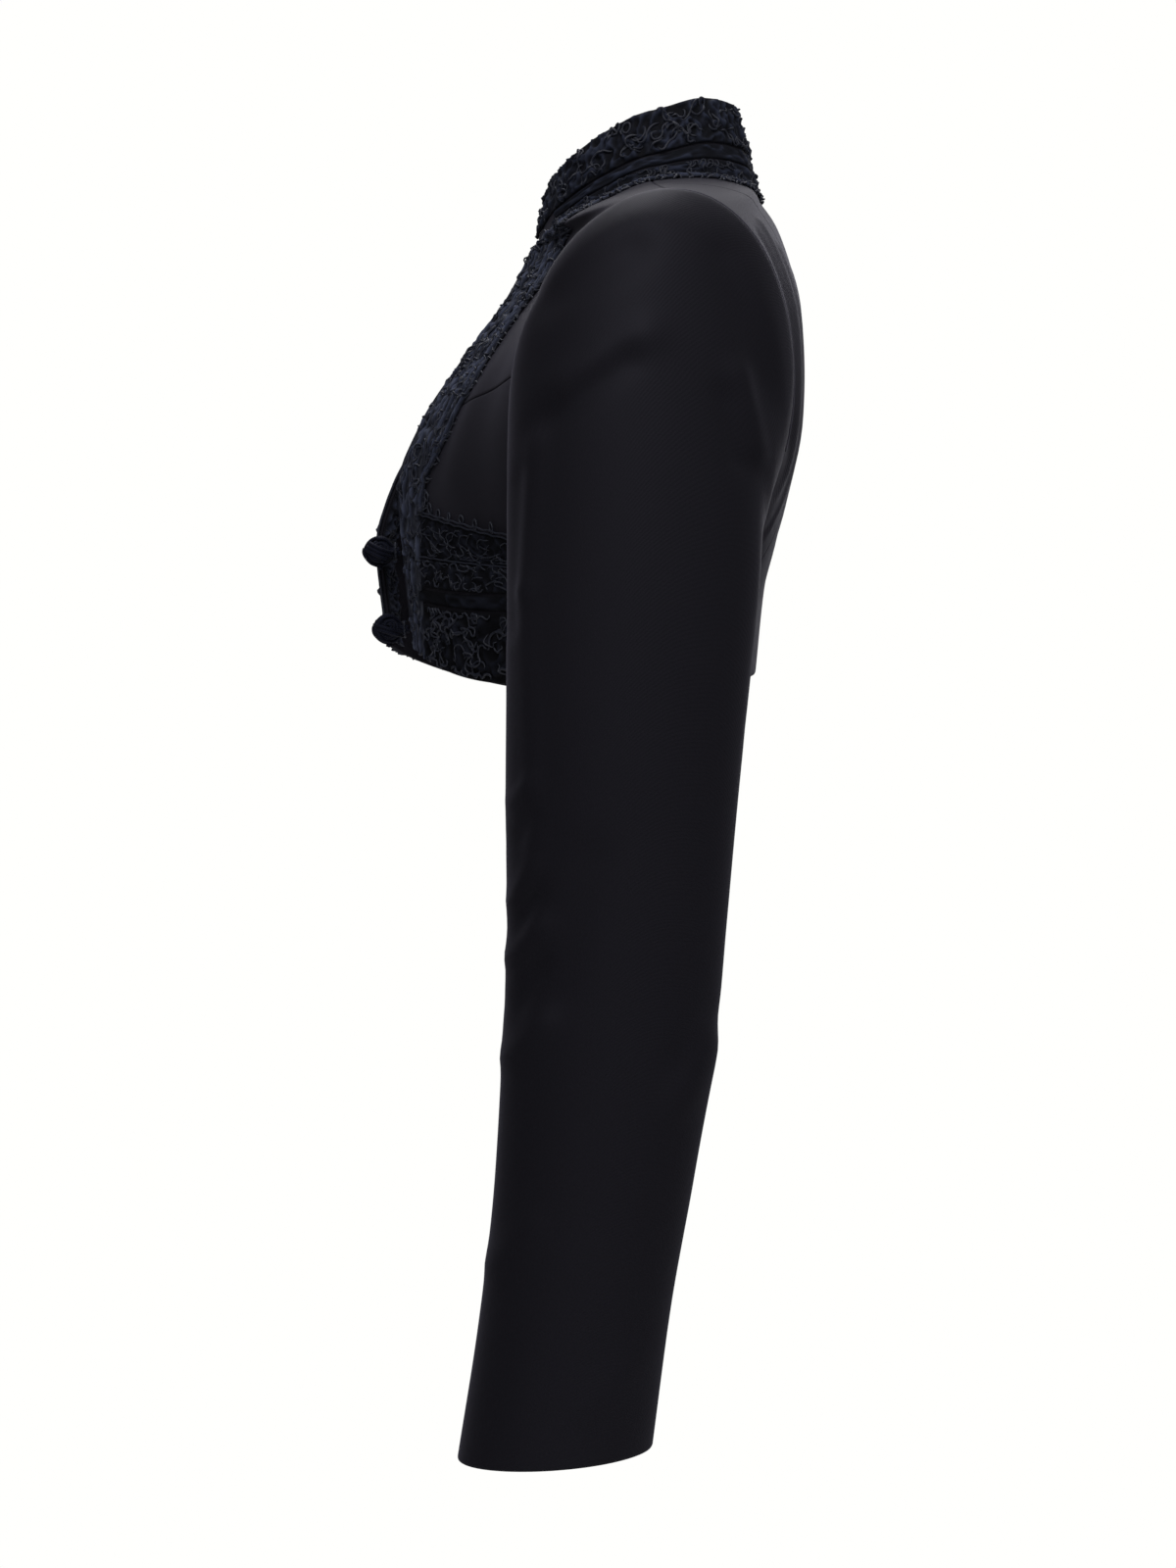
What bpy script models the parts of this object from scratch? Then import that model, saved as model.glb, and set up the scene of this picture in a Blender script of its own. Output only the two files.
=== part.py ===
"""A worn cropped jacket: stand collar, two-piece sleeves, curled cord trim, two ball buttons.

Metres, +Z up, the front towards -Y, the wearer's left at +X.
The origin is level with the shoulder points, on the axis of the neck.
"""

import math

import bmesh
import bpy
import numpy as np

# Cloth and seams
CLOTH = 0.002
SEAM_GAP = 0.0003
LAID_GAP = 0.0005
ARMHOLE_MITRE = 0.0014
BACK_SEAM_SHARE = 0.50
SLEEVE_SEAM_TURN = 32.0
SLEEVE_RADIUS = 0.05

# Side seam below the underarm, how the right front falls forward of the left below the bust,
# and how far the left front's hem sags between its edge and the side seam
SIDE_DROP = 0.053
HEM_SIDE_X = 0.146
RIGHT_EDGE_BACK = 0.004
RIGHT_FORWARD = 0.0145
RIGHT_FORWARD_FROM = -0.106
RIGHT_FORWARD_TO = -0.158
LEFT_HEM_DOWN = 0.0065

# Trim: widths and distances across the cloth, from the front edge or the neck seam
BAND_WIDTH = 0.029
COLLAR_BAND_WIDTH = 0.023
BAND_THICK = 0.0016
BAND_EDGE = 0.0004
BAND_FOOT = 0.06
BAND_TOP = 0.99
TRIM_GAP = 0.0015
CURL_HEIGHT = 0.0016
CURL_PITCH = 0.011
RAGGED_SHARE = 0.25
BRAID_GAP = 0.0010
BRAID_START = 0.0305
LOOSE_EDGE_FROM = 0.017
NECK_EDGE_START = 0.0030
NECK_FLARE = 0.040
NECK_FLARE_FROM = 6.80
NECK_FLARE_ROWS = 1.50

# The strip beside the front band: its share of the full width at each row
STRIP_SHARES = (
    (1.65, 0.08),
    (2.15, 0.54),
    (2.65, 1.00),
    (4.40, 1.08),
    (5.20, 1.45),
    (6.00, 1.75),
    (6.35, 1.90),
    (6.75, 1.55),
)

# Trim: rows of the body's table where each strip starts and ends
TRIM_FIRST_ROW = 0.02
HEM_TRIM_TOP = 1.70
HEM_TRIM_START = 0.031
HEM_TRIM_SIDE_SHARE = 0.84
HEM_TRIM_THICK = 0.0011
HEM_LINE_HEIGHT = 0.0006
BRAID_FIRST_ROW = 1.73
BRAID_LAST_ROW = 6.75
NECK_EDGE_FIRST_ROW = 6.78
NECK_EDGE_LAST_ROW = 11.996
BAND_LAST_ROW = 6.45
NECK_TURN_FROM = 5.90
NECK_TURN_ROWS = 0.90

# Ball buttons and their loops
BUTTON_RADIUS = 0.0076
BUTTON_HEIGHTS = (-0.158, -0.198)
BUTTON_X = 0.006
BUTTON_SIDES = 16
SHANK_RADIUS = 0.0024
LOOP_THICK = 0.0014
LOOP_ROOM = 0.0020
LOOP_CLEAR = 0.0007
LOOP_BEND_X = -0.001

# Cross profiles: a distance from the start of the piece, or a share of it, and the height over the cloth
BRAID_PROFILE = (
    (0.000, 0.0012),
    (0.0035, 0.0029),
    (0.007, 0.0012),
    (0.011, 0.0026),
    (0.015, 0.0012),
    (0.022, 0.0022),
    (0.031, 0.0012),
)
COLLAR_BRAID_PROFILE = ((0.0, 0.0012), (0.25, 0.0026), (0.5, 0.0012), (0.75, 0.0029), (1.0, 0.0012))
NECK_EDGE_PROFILE = ((0.0, 0.0014), (0.0035, 0.0024), (0.0075, 0.0012))

# Up the hem trim: a share of its height, and the share of the full relief at its curled bands and grooves
HEM_PROFILE = (
    (0.00, 0.0),
    (0.12, 1.0),
    (0.27, 1.0),
    (0.36, 0.0),
    (0.42, 0.9),
    (0.57, 0.9),
    (0.69, 0.3),
    (0.85, 0.8),
    (1.00, 0.2),
)

# One half of the body from the front hem over the shoulder to the back hem.
# edge: centre front, neckline or centre back; arm_turn: degrees round the armhole from its front;
# side_drop: share of the side seam below the underarm; end_turn: degrees the section bends through;
# prow: how far the section runs straight to a point at the centre front.
BODY_COLUMNS = ("edge_x", "edge_y", "edge_z", "arm_turn", "side_drop", "end_turn", "prow")
BODY_ROWS = {
    "front_hem": (0.004, -0.1195, -0.2065, -90, 1, 90, 0.25),
    "front_underarm": (0.004, -0.1250, -0.1600, -90, 0, 90, 0.35),
    "front_bust": (0.004, -0.1275, -0.1250, -42, 0, 82, 0.75),
    "front_seam": (0.004, -0.1162, -0.0930, 6, 0, 68, 1.15),
    "front_chest": (0.004, -0.0948, -0.0600, 30, 0, 58, 1.50),
    "front_upper": (0.004, -0.0698, -0.0250, 49, 0, 48, 1.75),
    "front_neck": (0.004, -0.0580, -0.0015, 63, 0, 40, 1.20),
    "neck_front_side": (0.037, -0.0490, 0.0020, 74, 0, 32, 0.30),
    "neck_side": (0.059, -0.0260, 0.0130, 82, 0, 26, 0.00),
    "shoulder": (0.066, 0.0010, 0.0240, 90, 0, 22, 0.00),
    "neck_back_side": (0.056, 0.0310, 0.0270, 101, 0, 26, 0.00),
    "neck_back": (0.031, 0.0525, 0.0250, 112, 0, 34, 0.00),
    "back_neck": (0.000, 0.0575, 0.0235, 124, 0, 42, 0.00),
    "back_upper": (0.000, 0.0670, 0.0090, 142, 0, 46, 0.00),
    "back_blade": (0.000, 0.0776, -0.0300, 165, 0, 50, 0.00),
    "back_middle": (0.000, 0.0788, -0.0750, 195, 0, 58, 0.00),
    "back_low": (0.000, 0.0712, -0.1250, 232, 0, 74, 0.00),
    "back_underarm": (0.000, 0.0606, -0.1720, 270, 0, 90, 0.00),
    "back_hem": (0.000, 0.0552, -0.2200, 270, 1, 90, 0.00),
}

# The collar above each row of the neckline: its height and how far its top leans in
COLLAR_COLUMNS = ("height", "lean")
COLLAR_ROWS = (
    (0.0285, 0.006),
    (0.0350, 0.008),
    (0.0370, 0.009),
    (0.0360, 0.010),
    (0.0410, 0.011),
    (0.0430, 0.012),
    (0.0430, 0.012),
)

# Rings of the left sleeve from the armhole to the cuff: the outer and inner points, the front and back
# reach, how far the front and back points sit in, how far back the top is, and the dip of the front.
SLEEVE_COLUMNS = (
    "outer_x",
    "outer_z",
    "inner_x",
    "inner_z",
    "front_y",
    "back_y",
    "front_in",
    "back_in",
    "top_back",
    "front_dip",
)
SLEEVE_ROWS = (
    (0.1900, 0.000, 0.1500, -0.178, -0.0624, 0.0659, 0.012, 0.004, 0.007, 0.000),
    (0.1992, -0.004, 0.1510, -0.184, -0.0660, 0.0651, 0.006, 0.002, 0.005, 0.000),
    (0.2115, -0.016, 0.1520, -0.191, -0.0684, 0.0622, 0.002, 0.000, 0.003, 0.000),
    (0.2210, -0.047, 0.1530, -0.202, -0.0689, 0.0572, 0.000, 0.000, 0.001, 0.000),
    (0.2290, -0.088, 0.1535, -0.217, -0.0692, 0.0514, 0.000, 0.000, 0.000, 0.000),
    (0.2350, -0.139, 0.1540, -0.236, -0.0692, 0.0491, 0.000, 0.000, 0.000, 0.000),
    (0.2390, -0.199, 0.1545, -0.265, -0.0692, 0.0444, 0.000, 0.000, 0.000, 0.000),
    (0.2405, -0.265, 0.1550, -0.303, -0.0695, 0.0391, 0.000, 0.000, 0.000, 0.000),
    (0.2400, -0.330, 0.1560, -0.352, -0.0689, 0.0339, 0.000, 0.000, 0.000, 0.000),
    (0.2400, -0.396, 0.1570, -0.406, -0.0711, 0.0284, 0.000, 0.000, 0.000, 0.000),
    (0.2395, -0.461, 0.1580, -0.463, -0.0746, 0.0185, 0.000, 0.000, 0.000, 0.001),
    (0.2390, -0.527, 0.1585, -0.524, -0.0820, 0.0075, 0.000, 0.000, 0.000, 0.003),
    (0.2390, -0.591, 0.1590, -0.587, -0.0919, -0.0010, 0.000, 0.000, 0.000, 0.003),
)

# Large soft folds of a sleeve: ring number, turn, ring slope per degree of turn, reach in rings and in
# degrees, and depth
FOLD_COLUMNS = ("ring", "turn", "slope", "ring_reach", "turn_reach", "depth")
SLEEVE_FOLDS = (
    (3.1, 35.0, -0.016, 0.35, 45.0, -0.0016),
    (4.6, 60.0, -0.012, 0.40, 50.0, -0.0014),
    (7.6, 10.0, 0.010, 0.35, 40.0, -0.0022),
    (8.5, 20.0, -0.008, 0.35, 45.0, -0.0024),
    (9.3, 5.0, 0.010, 0.30, 38.0, -0.0018),
    (4.2, 165.0, 0.014, 0.35, 32.0, -0.0018),
)

# Points along and across each piece
GRID = {
    "front_lower": (9, 11),
    "front_yoke": (17, 11),
    "back": (21, 7),
    "sleeve_top": (17, 15),
    "sleeve_under": (17, 9),
    "collar": (14, 3),
    "collar_trim": (26, 6),
    "collar_braid": (20, len(COLLAR_BRAID_PROFILE)),
    "front_trim": (40, 6),
    "front_braid": (30, len(BRAID_PROFILE)),
    "neck_edge": (26, len(NECK_EDGE_PROFILE)),
    "hem_trim": (26, len(HEM_PROFILE)),
}
SECTION_STEPS = 48

CLOTH_COLOUR = (0.011, 0.010, 0.012)
CLOTH_ROUGHNESS = 0.55
TRIM_COLOUR = (0.014, 0.016, 0.023)
TRIM_ROUGHNESS = 0.6


def table(columns, rows):
    """A table as one array per named column."""
    return dict(zip(columns, np.array(list(rows), float).T))


BODY = table(BODY_COLUMNS, BODY_ROWS.values())
ROW = {name: float(index) for index, name in enumerate(BODY_ROWS)}
NECK_CORNERS = (ROW["front_neck"], ROW["back_neck"])
COLLAR = table(COLLAR_COLUMNS, COLLAR_ROWS)
SLEEVE = table(SLEEVE_COLUMNS, SLEEVE_ROWS)


def smooth(values, at, corners=()):
    """A monotone cubic through values at 0, 1, 2 and so on, read at any place between.

    The curve may turn sharply at a corner, which ends one run and starts the next.
    """
    at = np.asarray(at, float)
    if corners:
        corner = int(corners[0])
        before = smooth(values[: corner + 1], np.minimum(at, corner))
        after = smooth(values[corner:], np.maximum(at, corner) - corner, [c - corner for c in corners[1:]])
        return np.where(at <= corner, before, after)
    steps = np.diff(values)
    slopes = np.zeros(len(values))
    same_way = steps[:-1] * steps[1:] > 0
    total = np.where(same_way, steps[:-1] + steps[1:], 1.0)
    slopes[1:-1] = np.where(same_way, 2 * steps[:-1] * steps[1:] / total, 0.0)
    slopes[0] = steps[0]
    slopes[-1] = steps[-1]
    low = np.clip(np.floor(at).astype(int), 0, len(values) - 2)
    u = at - low
    return (
        values[low] * (1 + 2 * u) * (1 - u) ** 2
        + slopes[low] * u * (1 - u) ** 2
        + values[low + 1] * u * u * (3 - 2 * u)
        + slopes[low + 1] * u * u * (u - 1)
    )


def ease(share):
    share = np.clip(share, 0.0, 1.0)
    return share * share * (3 - 2 * share)


def unit(vectors):
    return vectors / np.linalg.norm(vectors, axis=-1, keepdims=True)


def sleeve_dent(turn, ring):
    """How far the soft folds push the sleeve in."""
    dent = np.zeros(turn.shape)
    for row in SLEEVE_FOLDS:
        fold = dict(zip(FOLD_COLUMNS, row))
        past = turn - fold["turn"]
        along = past / fold["turn_reach"]
        across = (ring - fold["ring"] - fold["slope"] * past) / fold["ring_reach"]
        dent = dent + fold["depth"] * np.exp(-(along**2) - across**2)
    return dent


def sleeve(turn, ring, folded=True):
    """Points of the left sleeve's outer face at a turn in degrees from its front and a ring number."""
    turn, ring = np.broadcast_arrays(np.asarray(turn, float), np.asarray(ring, float))
    at = {name: smooth(SLEEVE[name], ring) for name in SLEEVE_COLUMNS}
    ahead = np.cos(np.radians(turn))
    outward = np.sin(np.radians(turn))
    dent = sleeve_dent(turn, ring) if folded else 0.0
    half_x = (at["outer_x"] - at["inner_x"]) / 2 + dent
    half_y = (at["back_y"] - at["front_y"]) / 2 + dent
    half_z = (at["outer_z"] - at["inner_z"]) / 2
    drawn_in = np.where(ahead > 0, at["front_in"], at["back_in"]) * ahead**2
    set_back = at["top_back"] * np.maximum(outward, 0.0) ** 2
    x = (at["outer_x"] + at["inner_x"]) / 2 + half_x * outward - drawn_in
    y = (at["back_y"] + at["front_y"]) / 2 - half_y * ahead + set_back
    z = (at["outer_z"] + at["inner_z"]) / 2 + half_z * outward - at["front_dip"] * ahead
    return np.stack((x, y, z), axis=-1)


def edge_of(row):
    """The centre front, neckline and centre back, with a corner at each end of the neckline."""
    return [smooth(BODY[name], row, NECK_CORNERS) for name in ("edge_x", "edge_y", "edge_z")]


def body_sections(row, right):
    """The whole section at each row, from the centre edge to the side seam or armhole."""
    at = {name: smooth(BODY[name], row)[..., None] for name in BODY_COLUMNS}
    edge_x, edge_y, edge_z = (part[..., None] for part in edge_of(row))
    if right:
        on_front = row[..., None] < ROW["front_neck"]
        fallen = ease((edge_z - RIGHT_FORWARD_FROM) / (RIGHT_FORWARD_TO - RIGHT_FORWARD_FROM))
        fallen = np.where(on_front, fallen, 0.0)
        edge_y = edge_y - RIGHT_FORWARD * fallen
        edge_x = edge_x + RIGHT_EDGE_BACK * fallen
    side = sleeve(at["arm_turn"], np.zeros(at["arm_turn"].shape), folded=False)
    drop = np.clip(at["side_drop"], 0.0, 1.0)
    side_x = side[..., 0] + drop * (HEM_SIDE_X - side[..., 0])
    side_z = side[..., 2] - drop * SIDE_DROP
    bend = np.radians(at["end_turn"])
    turn = np.linspace(0.0, 1.0, SECTION_STEPS + 1) * bend
    out = np.sin(turn) / np.sin(bend)
    ahead = (np.cos(turn) - np.cos(bend)) / (1 - np.cos(bend))
    ahead = ahead + at["prow"] * (1 - out - ahead)
    x = edge_x + (side_x - edge_x) * out
    y = side[..., 1] + (edge_y - side[..., 1]) * ahead
    z = edge_z + (side_z - edge_z) * out
    if not right:
        z = z - LEFT_HEM_DOWN * 4 * out * (1 - out) * np.clip(1 - row, 0.0, 1.0)[..., None]
    return np.stack((x, y, z), axis=-1)


def lengths_along(points):
    """Distances along each line of points from its first."""
    steps = np.linalg.norm(np.diff(points, axis=-2), axis=-1)
    start = np.zeros(steps.shape[:-1] + (1,))
    return np.concatenate((start, np.cumsum(steps, axis=-1)), axis=-1)


def body(share, row, right=False):
    """Points of the body's outer face, left half: a share of the section's length, at a row."""
    share, row = np.broadcast_arrays(np.asarray(share, float), np.asarray(row, float))
    sections = body_sections(row.ravel(), right)
    lengths = lengths_along(sections)
    wanted = np.clip(share.ravel(), 0.0, 1.0) * lengths[:, -1]
    points = np.empty((wanted.size, 3))
    for index in range(wanted.size):
        for axis in range(3):
            points[index, axis] = np.interp(wanted[index], lengths[index], sections[index, :, axis])
    return points.reshape(share.shape + (3,))


def section_length(row, right=False):
    return lengths_along(body_sections(np.asarray(row, float), right))[..., -1]


def collar_size(column, row):
    return smooth(COLLAR[column], np.clip(row, *NECK_CORNERS) - ROW["front_neck"])


def collar(row, rise):
    """Points of the collar's outer face: a row of the neckline and a share of its height."""
    row, rise = np.broadcast_arrays(np.asarray(row, float), np.asarray(rise, float))
    foot = np.stack(edge_of(np.clip(row, *NECK_CORNERS)), axis=-1)
    inward = unit(-foot * np.array((1.0, 1.0, 0.0)))
    up = np.zeros(foot.shape)
    up[..., 2] = SEAM_GAP + rise * collar_size("height", row)
    return foot + up + (rise * collar_size("lean", row))[..., None] * inward


def normals_of(surface, first, second, first_step, second_step):
    """Unit normals by small steps in both parameters."""
    across = surface(first + first_step, second) - surface(first - first_step, second)
    along = surface(first, second + second_step) - surface(first, second - second_step)
    return unit(np.cross(across, along))


def body_normals(share, row, right=False):
    def held_in(a, t):
        return body(a, np.clip(t, 0.0, ROW["back_hem"]), right)

    return normals_of(held_in, share, row, 0.004, 0.05)


def mirrored(points):
    return points * np.array((-1.0, 1.0, 1.0))


def cloth_material(name, colour, roughness):
    material = bpy.data.materials.new(name)
    material.use_nodes = True
    shader = material.node_tree.nodes["Principled BSDF"]
    shader.inputs["Base Color"].default_value = (*colour, 1.0)
    shader.inputs["Roughness"].default_value = roughness
    shader.inputs["Metallic"].default_value = 0.0
    return material


def add_object(name, data, material, parent):
    data.materials.append(material)
    made = bpy.data.objects.new(name, data)
    bpy.context.scene.collection.objects.link(made)
    made.parent = parent
    return made


def shade(mesh):
    mesh.shade_smooth()
    mesh.set_sharp_from_angle(angle=math.radians(50.0))


def turned_over(face):
    """The same face seen from its other side, split along the same diagonal."""
    return (face[0], *reversed(face[1:]))


def wall(name, outer, inner, material, parent):
    """A closed wall between two grids of points, with a rim all round."""
    rows, columns = outer.shape[:2]
    count = rows * columns
    row, column = rows // 2, columns // 2
    along = outer[row, column] - outer[row - 1, column]
    across = outer[row, column] - outer[row, column - 1]
    facing = np.cross(across, along) @ (outer[row, column] - inner[row, column])

    def at(row, column):
        return row * columns + column

    faces = []
    for row in range(rows - 1):
        for column in range(columns - 1):
            quad = (at(row, column), at(row, column + 1), at(row + 1, column + 1), at(row + 1, column))
            faces.append(quad)
            faces.append(turned_over([count + index for index in quad]))
    border = [at(0, c) for c in range(columns)]
    border += [at(r, columns - 1) for r in range(1, rows)]
    border += [at(rows - 1, c) for c in range(columns - 2, -1, -1)]
    border += [at(r, 0) for r in range(rows - 2, 0, -1)]
    for here, there in zip(border, border[1:] + border[:1]):
        low, high = min(here, there), max(here, there)
        faces.append((there, here, count + high))
        faces.append((low, count + here, count + there) if here == low else (low, count + high, count + low))
    if facing < 0:
        faces = [turned_over(face) for face in faces]
    points = np.concatenate((outer.reshape(-1, 3), inner.reshape(-1, 3)))
    mesh = bpy.data.meshes.new(name)
    mesh.from_pydata([tuple(point) for point in points], [], faces)
    shade(mesh)
    return add_object(name, mesh, material, parent)


def inset_rows(first, last, count):
    """Rows from first to last, each end half a seam gap in."""
    ends = []
    for row, step in ((first, 0.02), (last, -0.02)):
        pace = np.linalg.norm(body(0.5, row + step) - body(0.5, row)) / abs(step)
        ends.append(row + math.copysign(SEAM_GAP / 2 / pace, step))
    return np.linspace(ends[0], ends[1], count)


def body_panel(name, first_share, last_share, rows, columns, material, parent, right=False):
    """A panel of the body between two shares of its sections, half a seam gap in at its long sides."""
    typical = float(section_length(np.array([rows.mean()]), right)[0])
    inset = SEAM_GAP / 2 / typical
    start = first_share + (inset if first_share > 0 else 0.0)
    share, row = np.meshgrid(np.linspace(start, last_share - inset, columns), rows)
    outer = body(share, row, right)
    inner = outer - CLOTH * body_normals(share, row, right)
    for grid in (outer, inner):
        grid[..., 0] = np.maximum(grid[..., 0], SEAM_GAP / 2)
    if right:
        outer, inner = mirrored(outer), mirrored(inner)
    return wall(name, outer, inner, material, parent)


def sleeve_panel(name, first_turn, last_turn, grid, material, parent, right=False):
    """One piece of a sleeve between two seams, from the armhole seam to the cuff."""
    gap_turn = math.degrees(SEAM_GAP / 2 / SLEEVE_RADIUS)
    turns = np.linspace(first_turn + gap_turn, last_turn - gap_turn, grid[1])
    turn, ring = np.meshgrid(turns, np.linspace(0.0, len(SLEEVE_ROWS) - 1.0, grid[0]))
    pace = np.linalg.norm(sleeve(turns, 0.1, False) - sleeve(turns, 0.0, False), axis=-1) / 0.1
    ring[0] = SEAM_GAP / pace
    outer = sleeve(turn, ring)
    ring[0] += ARMHOLE_MITRE / pace
    inner = sleeve(turn, ring) + CLOTH * normals_of(sleeve, turn, ring, 1.0, 0.04)
    if right:
        outer, inner = mirrored(outer), mirrored(inner)
    return wall(name, outer, inner, material, parent)


def around_neck(left):
    """A grid over the left half of the neckline joined to its mirror image over the right."""
    return np.concatenate((left, mirrored(left[:, -2::-1])), axis=1)


def collar_wall(name, row, rise, depth, height, material, parent):
    """The collar, or a band on it: a grid of its outer face, from depth to height over that face."""
    points = collar(row, rise)
    normals = normals_of(collar, row, rise, 0.03, 0.05)
    outward = unit(points * np.array((1.0, 1.0, 0.0)))
    normals = normals * np.sign(np.sum(normals * outward, axis=-1, keepdims=True))
    outer = around_neck(points + height[..., None] * normals)
    inner = around_neck(points + depth * normals)
    return wall(name, outer, inner, material, parent)


def curl_relief(along, across):
    """Rounded bumps in broken rows, like packed curls of cord."""
    bent = 1.3 * np.sin(2 * math.pi * across / (1.7 * CURL_PITCH))
    wave = np.sin(2 * math.pi * along / CURL_PITCH + bent)
    bent = 0.9 * np.sin(2 * math.pi * along / (2.3 * CURL_PITCH))
    cross = np.sin(2 * math.pi * across / CURL_PITCH + bent)
    return CURL_HEIGHT * (0.5 + 0.3 * wave + 0.2 * cross)


def collar_pieces(cloth, trim, parent):
    """The stand collar, the curled band along its top and the braids along its foot."""
    columns, rows = GRID["collar"]
    row, rise = np.meshgrid(np.linspace(*NECK_CORNERS, columns), np.linspace(0.0, 1.0, rows))
    collar_wall("collar", row, rise, -CLOTH, np.zeros(row.shape), cloth, parent)
    columns, rows = GRID["collar_trim"]
    row, share = np.meshgrid(np.linspace(*NECK_CORNERS, columns), np.linspace(0.0, 1.0, rows))
    height = collar_size("height", row)
    low = np.maximum(1 - COLLAR_BAND_WIDTH / height, BAND_FOOT)
    rise = low + (BAND_TOP - low) * share
    along = lengths_along(collar(row[0], 0.0 * row[0]))[None, :]
    thick = LAID_GAP + BAND_THICK + curl_relief(along, rise * height)
    collar_wall("collar_trim", row, rise, LAID_GAP, thick, trim, parent)
    profile = np.array(COLLAR_BRAID_PROFILE)
    columns = GRID["collar_braid"][0]
    row, share = np.meshgrid(np.linspace(ROW["neck_front_side"], ROW["back_neck"], columns), profile[:, 0])
    height = collar_size("height", row)
    high = 1 - (COLLAR_BAND_WIDTH + BRAID_GAP) / height
    rise = BAND_FOOT + (high - BAND_FOOT) * share
    thick = np.repeat(profile[:, 1:], columns, axis=1)
    collar_wall("collar_braid", row, rise, LAID_GAP, thick, trim, parent)


def trim_start(rows):
    """How far from the edge the braids begin: beside the front band, then at the neck seam."""
    turned = ease((rows - NECK_TURN_FROM) / NECK_TURN_ROWS)
    return BRAID_START + (NECK_EDGE_START - BRAID_START) * turned


def laid_strip(name, rows, distances, heights, material, parent, right):
    """A strip on the body: distances from the centre edge and heights over the cloth, a column each."""
    share = distances / section_length(rows, right)[:, None]
    row = np.repeat(rows[:, None], distances.shape[1], axis=1)
    points = body(share, row, right)
    normals = body_normals(share, row, right)
    outer = points + heights[..., None] * normals
    inner = points + LAID_GAP * normals
    if right:
        outer, inner = mirrored(outer), mirrored(inner)
    return wall(name, outer, inner, material, parent)


def front_band(side, trim, parent):
    """The wide curled band along a front edge, narrower where the braids turn in to the neck."""
    right = side == "R"
    count, columns = GRID["front_trim"]
    rows = np.linspace(TRIM_FIRST_ROW, BAND_LAST_ROW, count)
    width = np.minimum(trim_start(rows) - TRIM_GAP, BAND_WIDTH)
    distances = BAND_EDGE + (width[:, None] - BAND_EDGE) * np.linspace(0.0, 1.0, columns)
    along = lengths_along(body(0.0, rows, right))[:, None]
    heights = LAID_GAP + BAND_THICK + curl_relief(along, distances)
    laid_strip(f"front_trim_{side}", rows, distances, heights, trim, parent, right)


def front_braid(side, trim, parent):
    """Two braids and a loose curled edge beside the front band, from the hem trim to the neck seam."""
    right = side == "R"
    rows = np.linspace(BRAID_FIRST_ROW, BRAID_LAST_ROW, GRID["front_braid"][0])
    profile = np.array(BRAID_PROFILE)
    shares = np.interp(rows, *np.array(STRIP_SHARES).T)
    distances = trim_start(rows)[:, None] + profile[:, 0] * shares[:, None]
    along = lengths_along(body(0.0, rows, right))[:, None]
    loose = profile[:, 0] > LOOSE_EDGE_FROM
    ragged = 1 + RAGGED_SHARE * np.sin(2 * math.pi * along / CURL_PITCH) * loose
    laid_strip(f"front_braid_{side}", rows, distances, profile[:, 1] * ragged, trim, parent, right)


def neck_edge(side, trim, parent):
    """The loose curled edge that lies on the shoulder and back along the collar's foot."""
    right = side == "R"
    rows = np.linspace(NECK_EDGE_FIRST_ROW, NECK_EDGE_LAST_ROW, GRID["neck_edge"][0])
    profile = np.array(NECK_EDGE_PROFILE)
    along = lengths_along(body(0.0, rows, right))[:, None]
    ragged = 1 + RAGGED_SHARE * np.sin(2 * math.pi * along / CURL_PITCH)
    flare = NECK_FLARE * (1 - ease((rows - NECK_FLARE_FROM) / NECK_FLARE_ROWS))
    wider = 1 + flare / profile[-1, 0]
    distances = NECK_EDGE_START + profile[:, 0] * wider[:, None]
    laid_strip(f"neck_edge_{side}", rows, distances, profile[:, 1] * ragged, trim, parent, right)


def hem_trim(side, trim, parent):
    """The banded trim above the front hem, from the front band to near the side seam."""
    right = side == "R"
    profile = np.array(HEM_PROFILE)
    rows = TRIM_FIRST_ROW + (HEM_TRIM_TOP - TRIM_FIRST_ROW) * profile[:, 0]
    reach = HEM_TRIM_SIDE_SHARE * section_length(rows, right)[:, None]
    shares = np.linspace(0.0, 1.0, GRID["hem_trim"][0])
    distances = HEM_TRIM_START + (reach - HEM_TRIM_START) * shares
    up = lengths_along(body(0.3, rows, right))[:, None]
    relief = HEM_LINE_HEIGHT + curl_relief(distances, up)
    heights = LAID_GAP + HEM_TRIM_THICK + profile[:, 1:] * relief
    laid_strip(f"hem_trim_{side}", rows, distances, heights, trim, parent, right)


def row_at_height(height, right):
    """The row whose front edge is at this height."""
    rows = np.linspace(0.0, ROW["front_neck"], 400)
    return float(np.interp(height, body(0.0, rows, right)[:, 2], rows))


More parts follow.
